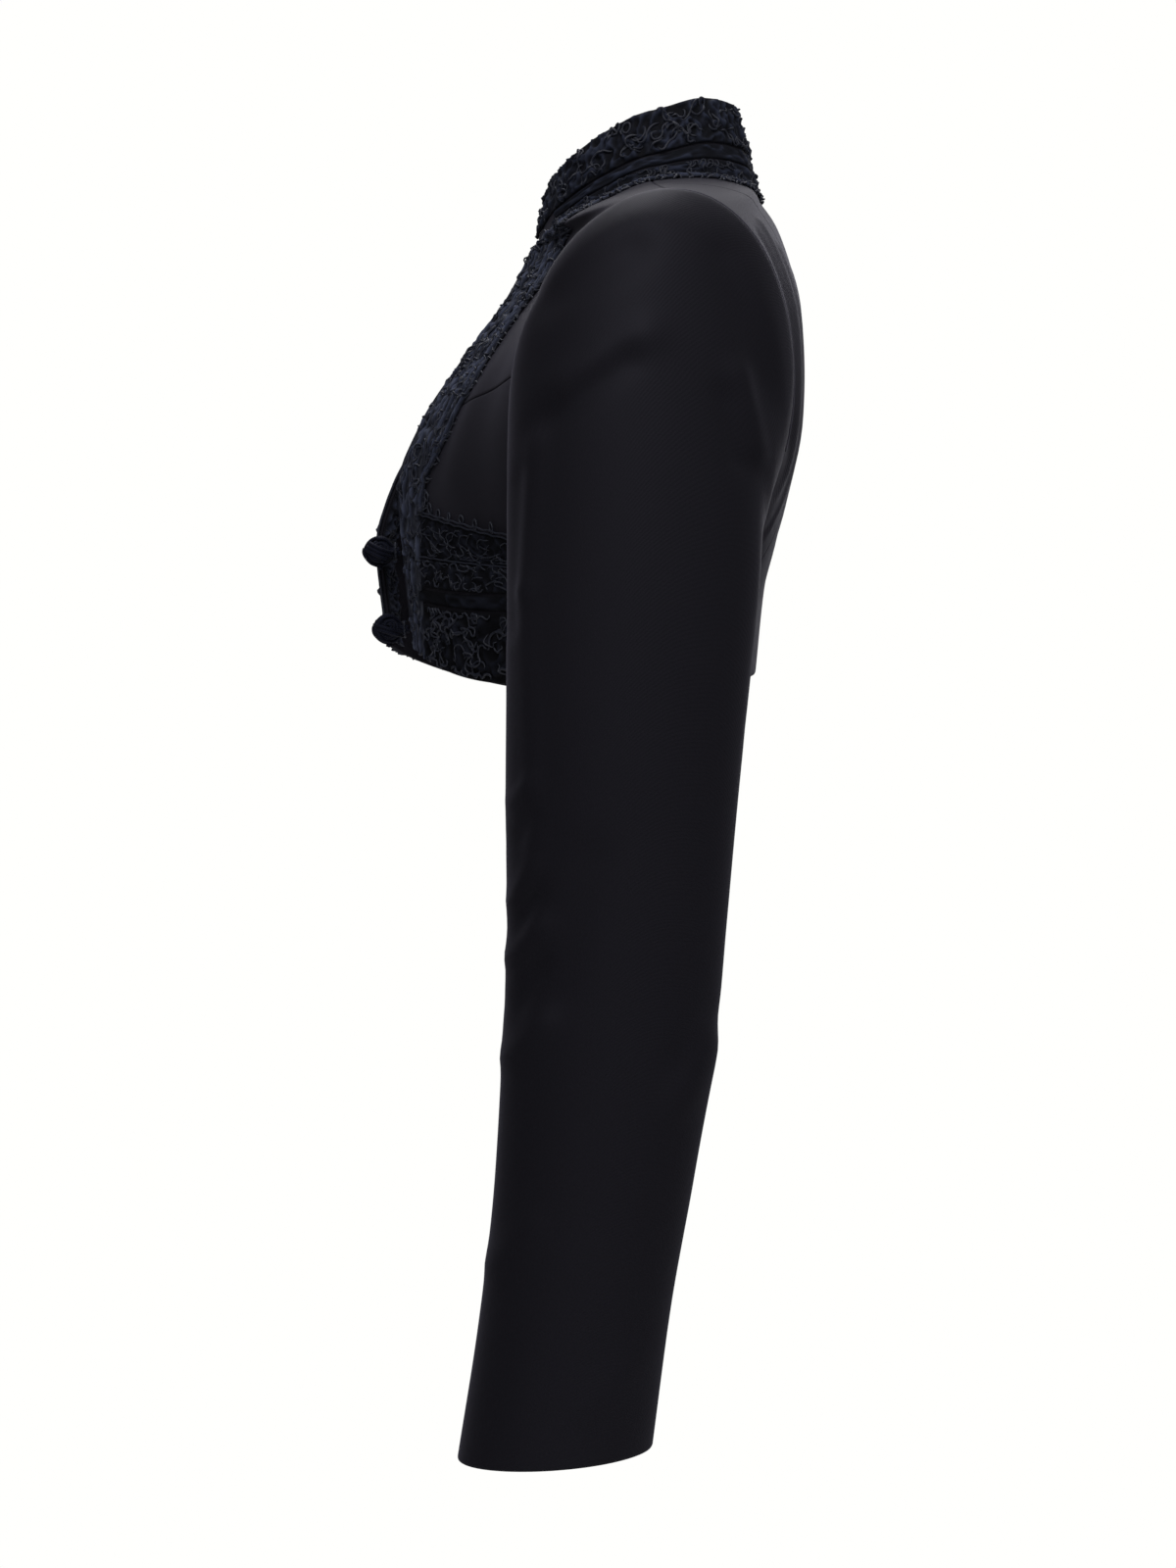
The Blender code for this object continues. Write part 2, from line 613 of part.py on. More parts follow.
def ball_button(name, center, seat, trim, parent):
    """A knotted ball with a short shank back to its seat, turned about the Y axis."""
    profile = [(0.0, -BUTTON_RADIUS)]
    for degrees in range(-72, 72, 18):
        angle = math.radians(degrees)
        profile.append((BUTTON_RADIUS * math.cos(angle), BUTTON_RADIUS * math.sin(angle)))
    foot = seat - center[1]
    profile += [(SHANK_RADIUS, foot - LOOP_ROOM), (SHANK_RADIUS, foot), (0.0, foot)]
    shape = bmesh.new()
    line = [shape.verts.new((radius, y, 0.0)) for radius, y in profile]
    edges = [shape.edges.new(pair) for pair in zip(line, line[1:])]
    bmesh.ops.spin(
        shape,
        geom=line + edges,
        axis=(0.0, 1.0, 0.0),
        cent=(0.0, 0.0, 0.0),
        angle=2 * math.pi,
        steps=BUTTON_SIDES,
    )
    bmesh.ops.remove_doubles(shape, verts=shape.verts, dist=1e-5)
    bmesh.ops.recalc_face_normals(shape, faces=shape.faces)
    mesh = bpy.data.meshes.new(name)
    shape.to_mesh(mesh)
    shape.free()
    shade(mesh)
    add_object(name, mesh, trim, parent).location = center


def button_loop(name, height, loop_y, trim, parent):
    """A cord from the right front's edge round a button's shank and back."""
    row = row_at_height(height, True)
    edge = body(0.0, row, True)
    inside = edge - CLOTH * body_normals(0.0, row, True)
    reach = SHANK_RADIUS + LOOP_THICK / 2 + LOOP_CLEAR
    root_x = LAID_GAP - min(edge[0], inside[0])
    root_y = (edge[1] + inside[1]) / 2
    roots = [(root_x, root_y), (root_x + LOOP_THICK, root_y), (LOOP_BEND_X, loop_y)]
    route = [(x, y, height + reach) for x, y in roots]
    for degrees in range(90, -91, -30):
        angle = math.radians(degrees)
        route.append((BUTTON_X + reach * math.cos(angle), loop_y, height + reach * math.sin(angle)))
    route += [(x, y, height - reach) for x, y in reversed(roots)]
    curve = bpy.data.curves.new(name, "CURVE")
    curve.dimensions = "3D"
    curve.bevel_depth = LOOP_THICK / 2
    curve.bevel_resolution = 1
    curve.use_fill_caps = True
    spline = curve.splines.new("POLY")
    spline.points.add(len(route) - 1)
    for point, place in zip(spline.points, route):
        point.co = (*place, 1.0)
    add_object(name, curve, trim, parent)


def fastenings(trim, parent):
    """Ball buttons on the left front's edge, each held by a cord loop from the right front's edge."""
    for number, height in enumerate(BUTTON_HEIGHTS, 1):
        edge_y = body(0.0, row_at_height(height, False))[1]
        seat = edge_y - (LAID_GAP + SEAM_GAP + BAND_THICK + CURL_HEIGHT)
        center = (BUTTON_X, seat - LOOP_ROOM - BUTTON_RADIUS, height)
        ball_button(f"ball_button_{number}", center, seat, trim, parent)
        button_loop(f"button_loop_{number}", height, seat - LOOP_ROOM / 2, trim, parent)


def half_jacket(side, cloth, trim, parent):
    """The panels, sleeve and trim of one side."""
    right = side == "R"
    lower_rows = inset_rows(0.0, ROW["front_seam"], GRID["front_lower"][0])
    lower_rows[0] = 0.0
    yoke_rows = inset_rows(ROW["front_seam"], ROW["shoulder"], GRID["front_yoke"][0])
    back_rows = inset_rows(ROW["shoulder"], ROW["back_hem"], GRID["back"][0])
    back_rows[-1] = ROW["back_hem"]
    body_panel(f"front_lower_{side}", 0.0, 1.0, lower_rows, GRID["front_lower"][1], cloth, parent, right)
    body_panel(f"front_yoke_{side}", 0.0, 1.0, yoke_rows, GRID["front_yoke"][1], cloth, parent, right)
    body_panel(f"back_center_{side}", 0.0, BACK_SEAM_SHARE, back_rows, GRID["back"][1], cloth, parent, right)
    body_panel(f"back_side_{side}", BACK_SEAM_SHARE, 1.0, back_rows, GRID["back"][1], cloth, parent, right)
    front_seam = -SLEEVE_SEAM_TURN
    back_seam = 180 + SLEEVE_SEAM_TURN
    sleeve_panel(f"sleeve_top_{side}", front_seam, back_seam, GRID["sleeve_top"], cloth, parent, right)
    full_turn = front_seam + 360
    sleeve_panel(f"sleeve_under_{side}", back_seam, full_turn, GRID["sleeve_under"], cloth, parent, right)
    front_band(side, trim, parent)
    front_braid(side, trim, parent)
    neck_edge(side, trim, parent)
    hem_trim(side, trim, parent)


def main():
    for old in list(bpy.data.objects):
        bpy.data.objects.remove(old)
    jacket = bpy.data.objects.new("jacket", None)
    bpy.context.scene.collection.objects.link(jacket)
    cloth = cloth_material("black_twill", CLOTH_COLOUR, CLOTH_ROUGHNESS)
    trim = cloth_material("curled_cord", TRIM_COLOUR, TRIM_ROUGHNESS)
    for side in ("L", "R"):
        half_jacket(side, cloth, trim, jacket)
    collar_pieces(cloth, trim, jacket)
    fastenings(trim, jacket)


main()
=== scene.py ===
"""The looks of a worn cropped jacket: black twill, curled cord trim and two wound ball buttons.

Metres, +Z up, the front towards -Y, the wearer's left at +X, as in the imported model.
"""

import math

import bpy
import numpy as np
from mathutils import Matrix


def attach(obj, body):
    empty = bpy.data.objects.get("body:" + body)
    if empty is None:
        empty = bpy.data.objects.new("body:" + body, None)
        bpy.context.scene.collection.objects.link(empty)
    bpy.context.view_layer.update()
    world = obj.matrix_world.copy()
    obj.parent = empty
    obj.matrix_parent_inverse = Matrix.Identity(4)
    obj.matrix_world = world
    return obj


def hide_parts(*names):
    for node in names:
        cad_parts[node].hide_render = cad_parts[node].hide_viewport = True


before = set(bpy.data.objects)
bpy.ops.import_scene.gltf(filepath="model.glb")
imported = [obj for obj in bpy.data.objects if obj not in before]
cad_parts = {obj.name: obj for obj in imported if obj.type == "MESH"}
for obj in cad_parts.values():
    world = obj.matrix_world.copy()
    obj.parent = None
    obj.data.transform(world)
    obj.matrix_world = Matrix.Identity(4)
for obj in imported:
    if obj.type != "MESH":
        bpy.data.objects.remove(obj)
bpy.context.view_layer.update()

# The photograph's camera: a side view from the wearer's left
PHOTO_HEIGHT = 1600
FOCAL_PIXELS = 3945
SENSOR = 36.0
CAMERA_PLACE = (2.0, -0.031, -0.278)
CAMERA_TURN = (90.0, 0.0, 90.0)

# Studio: a dim room, whose light changes along each axis of a direction: from where and to where, and its
# strength at both. BACKDROP is what the camera sees of it.
ROOM_LIGHT = (
    ("Z", -1.0, 1.0, 0.0, 0.66),
    ("X", -0.3, 0.9, 0.22, 1.0),
    ("Y", -0.9, -0.1, 0.45, 1.0),
)
BACKDROP = (1.0, 1.0, 0.985, 1.0)
STUDIO_COLOUR = "#fbfaff"
FLOOR_RADIUS = 1.3
FLOOR_HEIGHT = -1.40
FLOOR_SIDES = 96
# Each light has its name, place, aim, width and depth, and power in watts
STUDIO_LIGHTS = (
    ("top_light", (-0.75, -0.25, 2.0), (0.0, -0.03, 0.0), (0.9, 0.9), 12.0),
    ("back_wall_light", (-2.4, 0.25, 0.9), (0.0, 0.0, -0.1), (2.0, 2.4), 17.0),
    ("side_fill", (1.7, -0.25, 1.5), (0.1, -0.02, -0.1), (0.8, 0.8), 8.5),
)

# Cloth and seams, as in the solids
CLOTH = 0.002
SIDE_DROP = 0.053
HEM_SIDE_X = 0.146
RIGHT_EDGE_BACK = 0.004
RIGHT_FORWARD = 0.0145
RIGHT_FORWARD_FROM = -0.106
RIGHT_FORWARD_TO = -0.158
LEFT_HEM_DOWN = 0.0065
SECTION_STEPS = 96
COLLAR_SEAM = 0.0003
# Share of the collar's height that is sewn in below its seam
COLLAR_TUCK = 0.05
# The collar's usual height, and the steps of its mesh
COLLAR_TYPICAL = 0.036
COLLAR_STEP = 0.003
COLLAR_HALF_STEPS = 60

# The edge of a panel: how far in it starts to round, the share of the cloth left at its rim, how far the
# centre backs overlap, the places of the mesh beside an edge, and its step elsewhere
EDGE_ROUND = 0.0014
EDGE_RIM = 0.2
SEAM_OVERLAP = 0.0002
EDGE_PLACES = (0.0002, 0.0006, 0.0011, 0.0017)
FEWEST_STEPS = 6
CLOTH_STEP = 0.0035

# One half of the body from the front hem over the shoulder to the back hem.
# edge: centre front, neckline or centre back; arm_turn: degrees round the armhole from its front;
# side_drop: share of the side seam below the underarm; end_turn: degrees the section bends through;
# prow: how far the section runs straight to a point at the centre front.
BODY_COLUMNS = ("edge_x", "edge_y", "edge_z", "arm_turn", "side_drop", "end_turn", "prow")
BODY_ROWS = {
    "front_hem": (0.004, -0.1195, -0.2065, -90, 1, 90, 0.25),
    "front_underarm": (0.004, -0.1250, -0.1600, -90, 0, 90, 0.35),
    "front_bust": (0.004, -0.1275, -0.1250, -42, 0, 82, 0.75),
    "front_seam": (0.004, -0.1162, -0.0930, 6, 0, 68, 1.15),
    "front_chest": (0.004, -0.0948, -0.0600, 30, 0, 58, 1.50),
    "front_upper": (0.004, -0.0698, -0.0250, 49, 0, 48, 1.75),
    "front_neck": (0.004, -0.0580, -0.0015, 63, 0, 40, 1.20),
    "neck_front_side": (0.037, -0.0490, 0.0020, 74, 0, 32, 0.30),
    "neck_side": (0.059, -0.0260, 0.0130, 82, 0, 26, 0.00),
    "shoulder": (0.066, 0.0010, 0.0240, 90, 0, 22, 0.00),
    "neck_back_side": (0.056, 0.0310, 0.0270, 101, 0, 26, 0.00),
    "neck_back": (0.031, 0.0525, 0.0250, 112, 0, 34, 0.00),
    "back_neck": (0.000, 0.0575, 0.0235, 124, 0, 42, 0.00),
    "back_upper": (0.000, 0.0670, 0.0090, 142, 0, 46, 0.00),
    "back_blade": (0.000, 0.0776, -0.0300, 165, 0, 50, 0.00),
    "back_middle": (0.000, 0.0788, -0.0750, 195, 0, 58, 0.00),
    "back_low": (0.000, 0.0712, -0.1250, 232, 0, 74, 0.00),
    "back_underarm": (0.000, 0.0606, -0.1720, 270, 0, 90, 0.00),
    "back_hem": (0.000, 0.0552, -0.2200, 270, 1, 90, 0.00),
}

# The collar above each row of the neckline: its height and how far its top leans in
COLLAR_COLUMNS = ("height", "lean")
COLLAR_ROWS = (
    (0.0285, 0.006),
    (0.0350, 0.008),
    (0.0370, 0.009),
    (0.0360, 0.010),
    (0.0410, 0.011),
    (0.0430, 0.012),
    (0.0430, 0.012),
)

# Rings of the left sleeve from the armhole to the cuff: the outer and inner points, the front and back
# reach, how far the front and back points sit in, how far back the top is, and the dip of the front
SLEEVE_COLUMNS = (
    "outer_x",
    "outer_z",
    "inner_x",
    "inner_z",
    "front_y",
    "back_y",
    "front_in",
    "back_in",
    "top_back",
    "front_dip",
)
SLEEVE_ROWS = (
    (0.1900, 0.000, 0.1500, -0.178, -0.0624, 0.0659, 0.012, 0.004, 0.007, 0.000),
    (0.1992, -0.004, 0.1510, -0.184, -0.0660, 0.0651, 0.006, 0.002, 0.005, 0.000),
    (0.2115, -0.016, 0.1520, -0.191, -0.0684, 0.0622, 0.002, 0.000, 0.003, 0.000),
    (0.2210, -0.047, 0.1530, -0.202, -0.0689, 0.0572, 0.000, 0.000, 0.001, 0.000),
    (0.2290, -0.088, 0.1535, -0.217, -0.0692, 0.0514, 0.000, 0.000, 0.000, 0.000),
    (0.2350, -0.139, 0.1540, -0.236, -0.0692, 0.0491, 0.000, 0.000, 0.000, 0.000),
    (0.2390, -0.199, 0.1545, -0.265, -0.0692, 0.0444, 0.000, 0.000, 0.000, 0.000),
    (0.2405, -0.265, 0.1550, -0.303, -0.0695, 0.0391, 0.000, 0.000, 0.000, 0.000),
    (0.2400, -0.330, 0.1560, -0.352, -0.0689, 0.0339, 0.000, 0.000, 0.000, 0.000),
    (0.2400, -0.396, 0.1570, -0.406, -0.0711, 0.0284, 0.000, 0.000, 0.000, 0.000),
    (0.2395, -0.461, 0.1580, -0.463, -0.0746, 0.0185, 0.000, 0.000, 0.000, 0.001),
    (0.2390, -0.527, 0.1585, -0.524, -0.0820, 0.0075, 0.000, 0.000, 0.000, 0.003),
    (0.2390, -0.591, 0.1590, -0.587, -0.0919, -0.0010, 0.000, 0.000, 0.000, 0.003),
)

# Soft creases of a sleeve, as lines seen from the side: 1 is the outer face and -1 the one by the body.
# Each runs from one place to the other, with its half width and its height, below zero for a trough.
CREASE_COLUMNS = ("face", "from_y", "from_z", "to_y", "to_z", "width", "height")
SLEEVE_CREASE_DEPTH = 1.5
SLEEVE_CREASES = (
    (1, -0.0417, -0.0942, -0.0034, -0.0711, 0.009, 0.0015),
    (1, -0.0510, -0.1111, -0.0132, -0.0831, 0.007, -0.0018),
    (1, -0.0492, -0.0528, -0.0110, -0.0310, 0.010, -0.0014),
    (1, 0.0335, -0.0332, 0.0540, -0.0955, 0.009, -0.0016),
    (1, 0.0393, -0.0880, 0.0470, -0.1223, 0.006, 0.0018),
    (1, 0.0322, -0.1000, 0.0400, -0.1289, 0.006, -0.0012),
    (1, -0.0546, -0.1178, -0.0600, -0.1890, 0.005, 0.0010),
    (1, -0.0600, -0.1890, -0.0555, -0.3047, 0.005, 0.0009),
    (1, -0.0640, -0.1356, -0.0665, -0.2068, 0.004, -0.0009),
    (1, -0.0648, -0.2860, -0.0573, -0.2776, 0.0035, 0.0012),
    (1, -0.0648, -0.3323, -0.0559, -0.3145, 0.004, 0.0014),
    (1, -0.0653, -0.3581, -0.0524, -0.3430, 0.005, 0.0016),
    (1, -0.0662, -0.4044, -0.0510, -0.3875, 0.006, 0.0017),
    (1, -0.0639, -0.3047, -0.0564, -0.2936, 0.004, -0.0010),
    (1, -0.0639, -0.3448, -0.0555, -0.3292, 0.004, -0.0012),
    (1, -0.0639, -0.3804, -0.0541, -0.3626, 0.005, -0.0014),
    (1, 0.0260, -0.4004, 0.0110, -0.4249, 0.009, 0.0013),
    (1, 0.0246, -0.3848, 0.0091, -0.4071, 0.007, -0.0010),
    (1, -0.0310, -0.3136, -0.0444, -0.3715, 0.012, -0.0009),
    (1, -0.0755, -0.5005, -0.0577, -0.4805, 0.006, 0.0009),
    (1, -0.0120, -0.5450, -0.0310, -0.5628, 0.008, 0.0007),
    (-1, -0.0550, -0.2900, -0.0200, -0.2750, 0.005, 0.0012),
    (-1, -0.0520, -0.3450, -0.0150, -0.3300, 0.006, 0.0015),
    (-1, -0.0560, -0.3950, -0.0250, -0.3780, 0.006, 0.0013),
    (-1, -0.0500, -0.3180, -0.0180, -0.3040, 0.005, -0.0012),
    (-1, 0.0300, -0.2500, -0.0100, -0.2800, 0.008, -0.0014),
    (-1, 0.0150, -0.4100, -0.0200, -0.4300, 0.008, 0.0012),
    (-1, -0.0700, -0.5100, -0.0400, -0.4950, 0.006, 0.0009),
)
RIGHT_CREASE_SHIFT = 0.007

# The sleeve's cap beside the armhole: its swelling, how far from the seam it is highest, and where round the
# sleeve it fades. Then the fold along the seam: its place, radius, turns in degrees and mesh.
CAP_ROLL = 0.0013
CAP_ROLL_AT = 0.0040
CAP_ROLL_BELOW = 0.35
CAP_ROLL_FADE = 0.5
SEAM_FOLD_AT = 0.0012
SEAM_FOLD_RADIUS = 0.0005
SEAM_FOLD_TURNS = (-30.0, 200.0)
SEAM_FOLD_TURN_STEP = 0.7
SEAM_FOLD_RINGS = 0.5
SEAM_FOLD_STEPS = 60

# Soft creases of the body's panels, as lines between a share of the section and a row, for both sides
PANEL_CREASE_COLUMNS = ("from_share", "from_row", "to_share", "to_row", "width", "height")
PANEL_CREASES = (
    (0.47, 3.00, 0.40, 2.30, 0.014, 0.0007),
    (0.66, 2.90, 0.60, 1.90, 0.020, -0.0009),
    (0.88, 1.60, 0.70, 0.60, 0.010, -0.0008),
    (0.50, 5.20, 0.92, 4.40, 0.008, 0.0008),
    (0.60, 4.70, 0.95, 3.70, 0.007, -0.0008),
    (0.74, 12.2, 0.84, 15.4, 0.007, 0.0015),
    (0.88, 12.4, 0.92, 15.0, 0.006, -0.0013),
    (0.62, 13.0, 0.70, 16.0, 0.007, 0.0012),
    (0.95, 17.0, 0.72, 16.0, 0.007, -0.0011),
    (0.92, 17.4, 0.68, 16.7, 0.006, 0.0009),
    (0.10, 16.6, 0.36, 17.3, 0.008, 0.0007),
    (0.08, 13.4, 0.40, 13.1, 0.009, -0.0007),
)
# A section's length and the length between two rows, to give the creases' places in metres
SECTION_TYPICAL = 0.17
ROW_TYPICAL = 0.036

# Trim, in metres from the front edge or the neck seam, and in rows of the body's table
GROUND_STEP = 0.0025
FRONT_EDGE_STEPS = 1600
NECKLINE_STEPS = 1200
TRIM_REACH = 0.095
BAND_WIDTH = 0.029
BAND_START = 0.0006
BAND_INSET = 0.0004
BAND_TOP_ROW = 6.42
CURL_INSET = 0.001
BRAID_START = 0.0305
NECK_EDGE_START = 0.0030
NECK_TURN_FROM = 5.90
NECK_TURN_ROWS = 0.90
TRIM_GAP = 0.0015
TURNED_ROWS = (0.05, 2.5)
TURNED_INSET = 0.0002
TURNED_WIDTH = 0.0150
STRIP_ABOVE_HEM_TRIM = 0.05
STRIP_TOP_ROW = 6.75
STRIP_WIDTH = 0.0300
EDGING_FIRST_ROW = 6.78
EDGING_INSET = 0.0008
EDGING_CURL_INSET = 0.0010
EDGING_STEP = 0.0011
NECK_EDGE_WIDTH = 0.0075
NECK_FLARE = 0.040
NECK_FLARE_FROM = 6.80
NECK_FLARE_ROWS = 1.50

# The strip beside the front band: its share of the full width at each row
STRIP_SHARES = (
    (1.65, 0.05),
    (2.20, 0.22),
    (2.40, 0.50),
    (2.65, 0.85),
    (3.00, 1.10),
    (3.25, 1.40),
    (3.70, 1.30),
    (4.40, 1.32),
    (5.20, 1.50),
    (6.00, 1.75),
    (6.35, 1.90),
    (6.75, 1.55),
)

# Trim of the collar from its top down: widths, shares of its height, and gaps
COLLAR_DEPTH = 0.050
COLLAR_BAND_WIDTH = 0.023
COLLAR_BAND_SHARE = 0.92
COLLAR_BAND_OVER = 0.0002
COLLAR_CURLS_OVER = 0.0010
COLLAR_BRAID_SHARE = 0.42
BRAID_GAP = 0.0011
STRIP_GAP = 0.8 * BRAID_GAP
FOOT_GAP = 0.0006

# Trim of the front hem: bands across the front, at heights up the front edge. Each has its foot and head,
# then those of its curls. A head below zero is measured down from the top of the trim.
HEM_REACH = 0.172
HEM_GROUND_TOP = 2.6
HEM_TRIM_TOP = 1.70
HEM_TRIM_START = 0.030
HEM_TRIM_SIDE_SHARE = 0.84
HEM_SIDE_ROW = 0.8
HEM_BANDS = {
    "curled": (0.0005, 0.0252, 0.0005, 0.0250),
    "chipped": (0.0330, 0.0472, 0.0333, 0.0470),
    "threaded": (0.0492, -0.0008, 0.0494, -0.0010),
}
HEM_BRAID = (0.0262, 0.0318)
HEM_BRAID_EARLIER = 0.006
HEM_CORD_EARLIER = 0.002
HEM_LOW_CORD = 0.0482
HEM_TOP_CORDS = (-0.0002, 0.0012)

# Felted bands: how thick each stands, the size of its lumps, and how far these are drawn out along it
FELT = {
    "collar_band": (0.0022, 0.0027, 1.0),
    "collar_braid": (0.0014, 0.0016, 4.0),
    "collar_foot": (0.0014, 0.0018, 2.6),
    "front_band": (0.0022, 0.0026, 1.8),
    "turned_band": (0.0018, 0.0024, 1.0),
    "front_strip": (0.0022, 0.0026, 2.2),
    "neck_edging": (0.0017, 0.0024, 2.2),
    "hem_curled": (0.0022, 0.0026, 1.8),
    "hem_chipped": (0.0013, 0.0024, 1.6),
    "hem_threaded": (0.0009, 0.0024, 1.4),
    "hem_braid": (0.0012, 0.0016, 5.0),
}
FELT_STEP = 0.00085
BAND_FOOT = 0.0002
BAND_RIM = 0.0003
BAND_SIDE = 0.0014
FEWEST_COLUMNS = 6
# Shares of a band's thickness in its pits, ridges and fine lumps, and the least and most of them together
PIT_SHARE = 0.16
RIDGE_SHARE = 0.76
LUMP_SHARE = 0.15
FELT_LIMITS = (0.05, 1.25)
RIDGE_SPREAD = 0.5
FINE_LUMPS = 0.45
NOISE_REACH = 2.5
# The height that counts as a full ridge, in per cent of a band's points below it; lower points take painted
# shade
FULL_RIDGE = 97

# Curled cords on a band: how much of it they cover, their radius, the shortest and longest, the tightest and
# widest bend, and how far they are drawn out along the band
CURL_RADIUS = 0.00055
SHORT_CURLS = (0.006, 0.018)
LONG_CURLS = (0.008, 0.025)
TIGHT_BENDS = (0.0012, 0.007)
WIDE_BENDS = (0.0018, 0.008)
CURLS = {
    "collar_band": (0.28, CURL_RADIUS, LONG_CURLS, WIDE_BENDS, 1.0),
    "collar_foot": (0.40, 0.00045, SHORT_CURLS, TIGHT_BENDS, 1.0),
    "front_band": (0.22, CURL_RADIUS, LONG_CURLS, WIDE_BENDS, 1.0),
    "turned_band": (0.30, CURL_RADIUS, SHORT_CURLS, TIGHT_BENDS, 1.0),
    "front_strip": (0.22, CURL_RADIUS, LONG_CURLS, (0.002, 0.012), 1.0),
    "neck_edging": (0.40, CURL_RADIUS, SHORT_CURLS, TIGHT_BENDS, 1.0),
    "hem_curled": (0.34, CURL_RADIUS, LONG_CURLS, (0.0012, 0.0040), 1.8),
    "hem_chipped": (0.22, 0.00042, (0.004, 0.010), TIGHT_BENDS, 1.8),
    "hem_threaded": (0.18, 0.00036, (0.006, 0.020), (0.004, 0.060), 1.6),
}
CURL_STEP = 0.0010
CURL_HEIGHTS = (0.0001, 0.0007)
CURL_THICKNESS = (0.75, 1.2)
ARC_RADIANS = (0.8, 3.6)
ARC_LONGEST = 0.009
TURN_BACK_RADIANS = 1.6
# Steps by two shares with no common measure spread the curls' starts evenly over a band
SPREAD_ALONG = 0.7548777
SPREAD_ACROSS = 0.5698403

# Every laid cord: its sides, the length and height of its waves, the run of its tucked ends and their share
CORD_SIDES = 5
CORD_WAVES = (0.005, 0.009)
CORD_SWING = 0.0003
CORD_TUCK = 0.002
CORD_TIP = 0.55

# Loose ends along an edge: how far in each is rooted, its reach, spacing and radius
HOOKS = {
    "front_strip": (0.001, 0.005, 0.0040, 0.00055),
    "neck_edging": (0.0015, 0.008, 0.0036, 0.0006),
}
HOOK_STEP = 0.0008
HOOK_FEWEST = 6
HOOK_LEANS = (-0.2, 0.9)
HOOK_LENGTHS = (0.7, 1.5)
HOOK_ROOT_BENDS = (0.0, 60.0)
HOOK_TIP_BENDS = (150.0, 520.0)
HOOK_HEIGHTS = (0.0008, 0.0018)
HOOK_SPACINGS = (0.5, 1.5)

# Smooth cords along the trim: height over it, radius and wobble; those on the strip have a share of its width
STRAND_WAVE = 0.013
STRAND_STEP = 0.0012
EDGE_CORDS_TOP_ROW = 5.9
EDGE_CORD_PLACES = (0.0003, 0.0016)
EDGE_CORD = (0.0010, 0.00085, 0.0001)
STRIP_CORDS = ((0.03, 0.0008), (0.22, 0.0007), (0.28, 0.0006), (0.50, 0.0006))
STRIP_CORD_HEIGHT = 0.0002
STRIP_CORD_WOBBLE = 0.0005
HEM_CORD = (0.0010, 0.0005, 0.0002)
HEM_CORD_STEP = 0.0011

# Thread rings along the top of the hem trim: place along it, height above it, and radius
PICOTS = (
    (0.0310, 0.0030, 0.0028),
    (0.0345, 0.0058, 0.0024),
    (0.0385, 0.0085, 0.0018),
    (0.0425, 0.0038, 0.0024),
    (0.0530, 0.0022, 0.0021),
    (0.0660, 0.0024, 0.0017),
    (0.0805, 0.0028, 0.0015),
    (0.0950, 0.0022, 0.0018),
    (0.1115, 0.0024, 0.0018),
    (0.1300, 0.0028, 0.0015),
)
PICOT_RADIUS = 0.00048
PICOT_ROUND = 2 * math.pi * 1.15
PICOT_STEPS = 22
PICOT_STRETCHES = (0.8, 1.25)
PICOT_HEIGHT = 0.0008
PICOT_TILT = 0.0003
RIGHT_PICOT_SHIFT = 0.004

# Ball buttons and their loops. They are placed from the front edge at their height: the mean of its places
# EDGE_ROWS above and below.
EDGE_STEPS = 500
EDGE_ROWS = 0.05
BUTTON_RADIUS = 0.0076
BUTTON_HEIGHTS = (-0.158, -0.198)
BUTTON_X = 0.006
BUTTON_CORD = 0.00105
# A ball's three windings: how far out each lies, in radii of the cord, and how far it reaches, in degrees.
# Then the first one's axis, the second one's on each ball, and the way aside from that to the third one's.
WINDINGS = ((-1.3, 86), (0.0, 26), (0.2, 14))
WINDING_AXIS = (1.0, 0.15, 0.25)
CROSSING_AXES = ((0.2, 0.5, 1.0), (0.9, 0.4, -0.2))
CROSSING_ASIDE = (0.4, -1.0, 0.3)
WINDING_START = (0.31, 0.22, 0.93)
WINDING_STEPS = 44
BALL_LUMP = 0.0005
LUMP_WAVES = (620.0, 540.0)
SEAT_HEIGHT = 0.0040
SHANK_RADIUS = 0.0024
SHANK_WIND = 0.0015
SHANK_CORD = 0.0009
SHANK_SUNK = 0.0012
SHANK_TURNS = 4
SHANK_STEPS = 90
KNOB_RADIUS = 0.0012
KNOB_CORD = 0.0007
KNOB_BACK = 0.0005
KNOB_DOWN = 0.0004
KNOB_AXIS = (0.1, 0.2, 1.0)
KNOB_REACH = 80
LOOP_ROOM = 0.0020
LOOP_THICK = 0.0014
LOOP_SLACK = 0.0007
LOOP_ROOT_IN = 0.0006
LOOP_ROOT_BACK = 0.0008
LOOP_LEG = 0.003
LOOP_BEND_X = -0.001
LOOP_ARC_STEPS = 25
LOOP_STEPS = 140
LOOP_SMOOTHINGS = 4
LOOP_TWIST = 0.0028
LOOP_PLY = 0.00042
LOOP_PLY_OUT = 0.00034

# Panels of the body: the solid of each, its rows, its shares of the section, its length and width for the
# spacing of its mesh, and a rough flat size and area of its cut
PANELS = {
    "lower_front": ("front_lower", "front_hem", "front_seam", (0, 1), (0.125, 0.20), (0.205, 0.145), 0.0245),
    "upper_front": ("front_yoke", "front_seam", "shoulder", (0, 1), (0.16, 0.17), (0.19, 0.18), 0.0257),
    "center_back": ("back_center", "shoulder", "back_hem", (0, 0.5), (0.29, 0.09), (0.115, 0.27), 0.0264),
    "side_back": ("back_side", "shoulder", "back_hem", (0.5, 1), (0.27, 0.09), (0.11, 0.26), 0.0230),
}
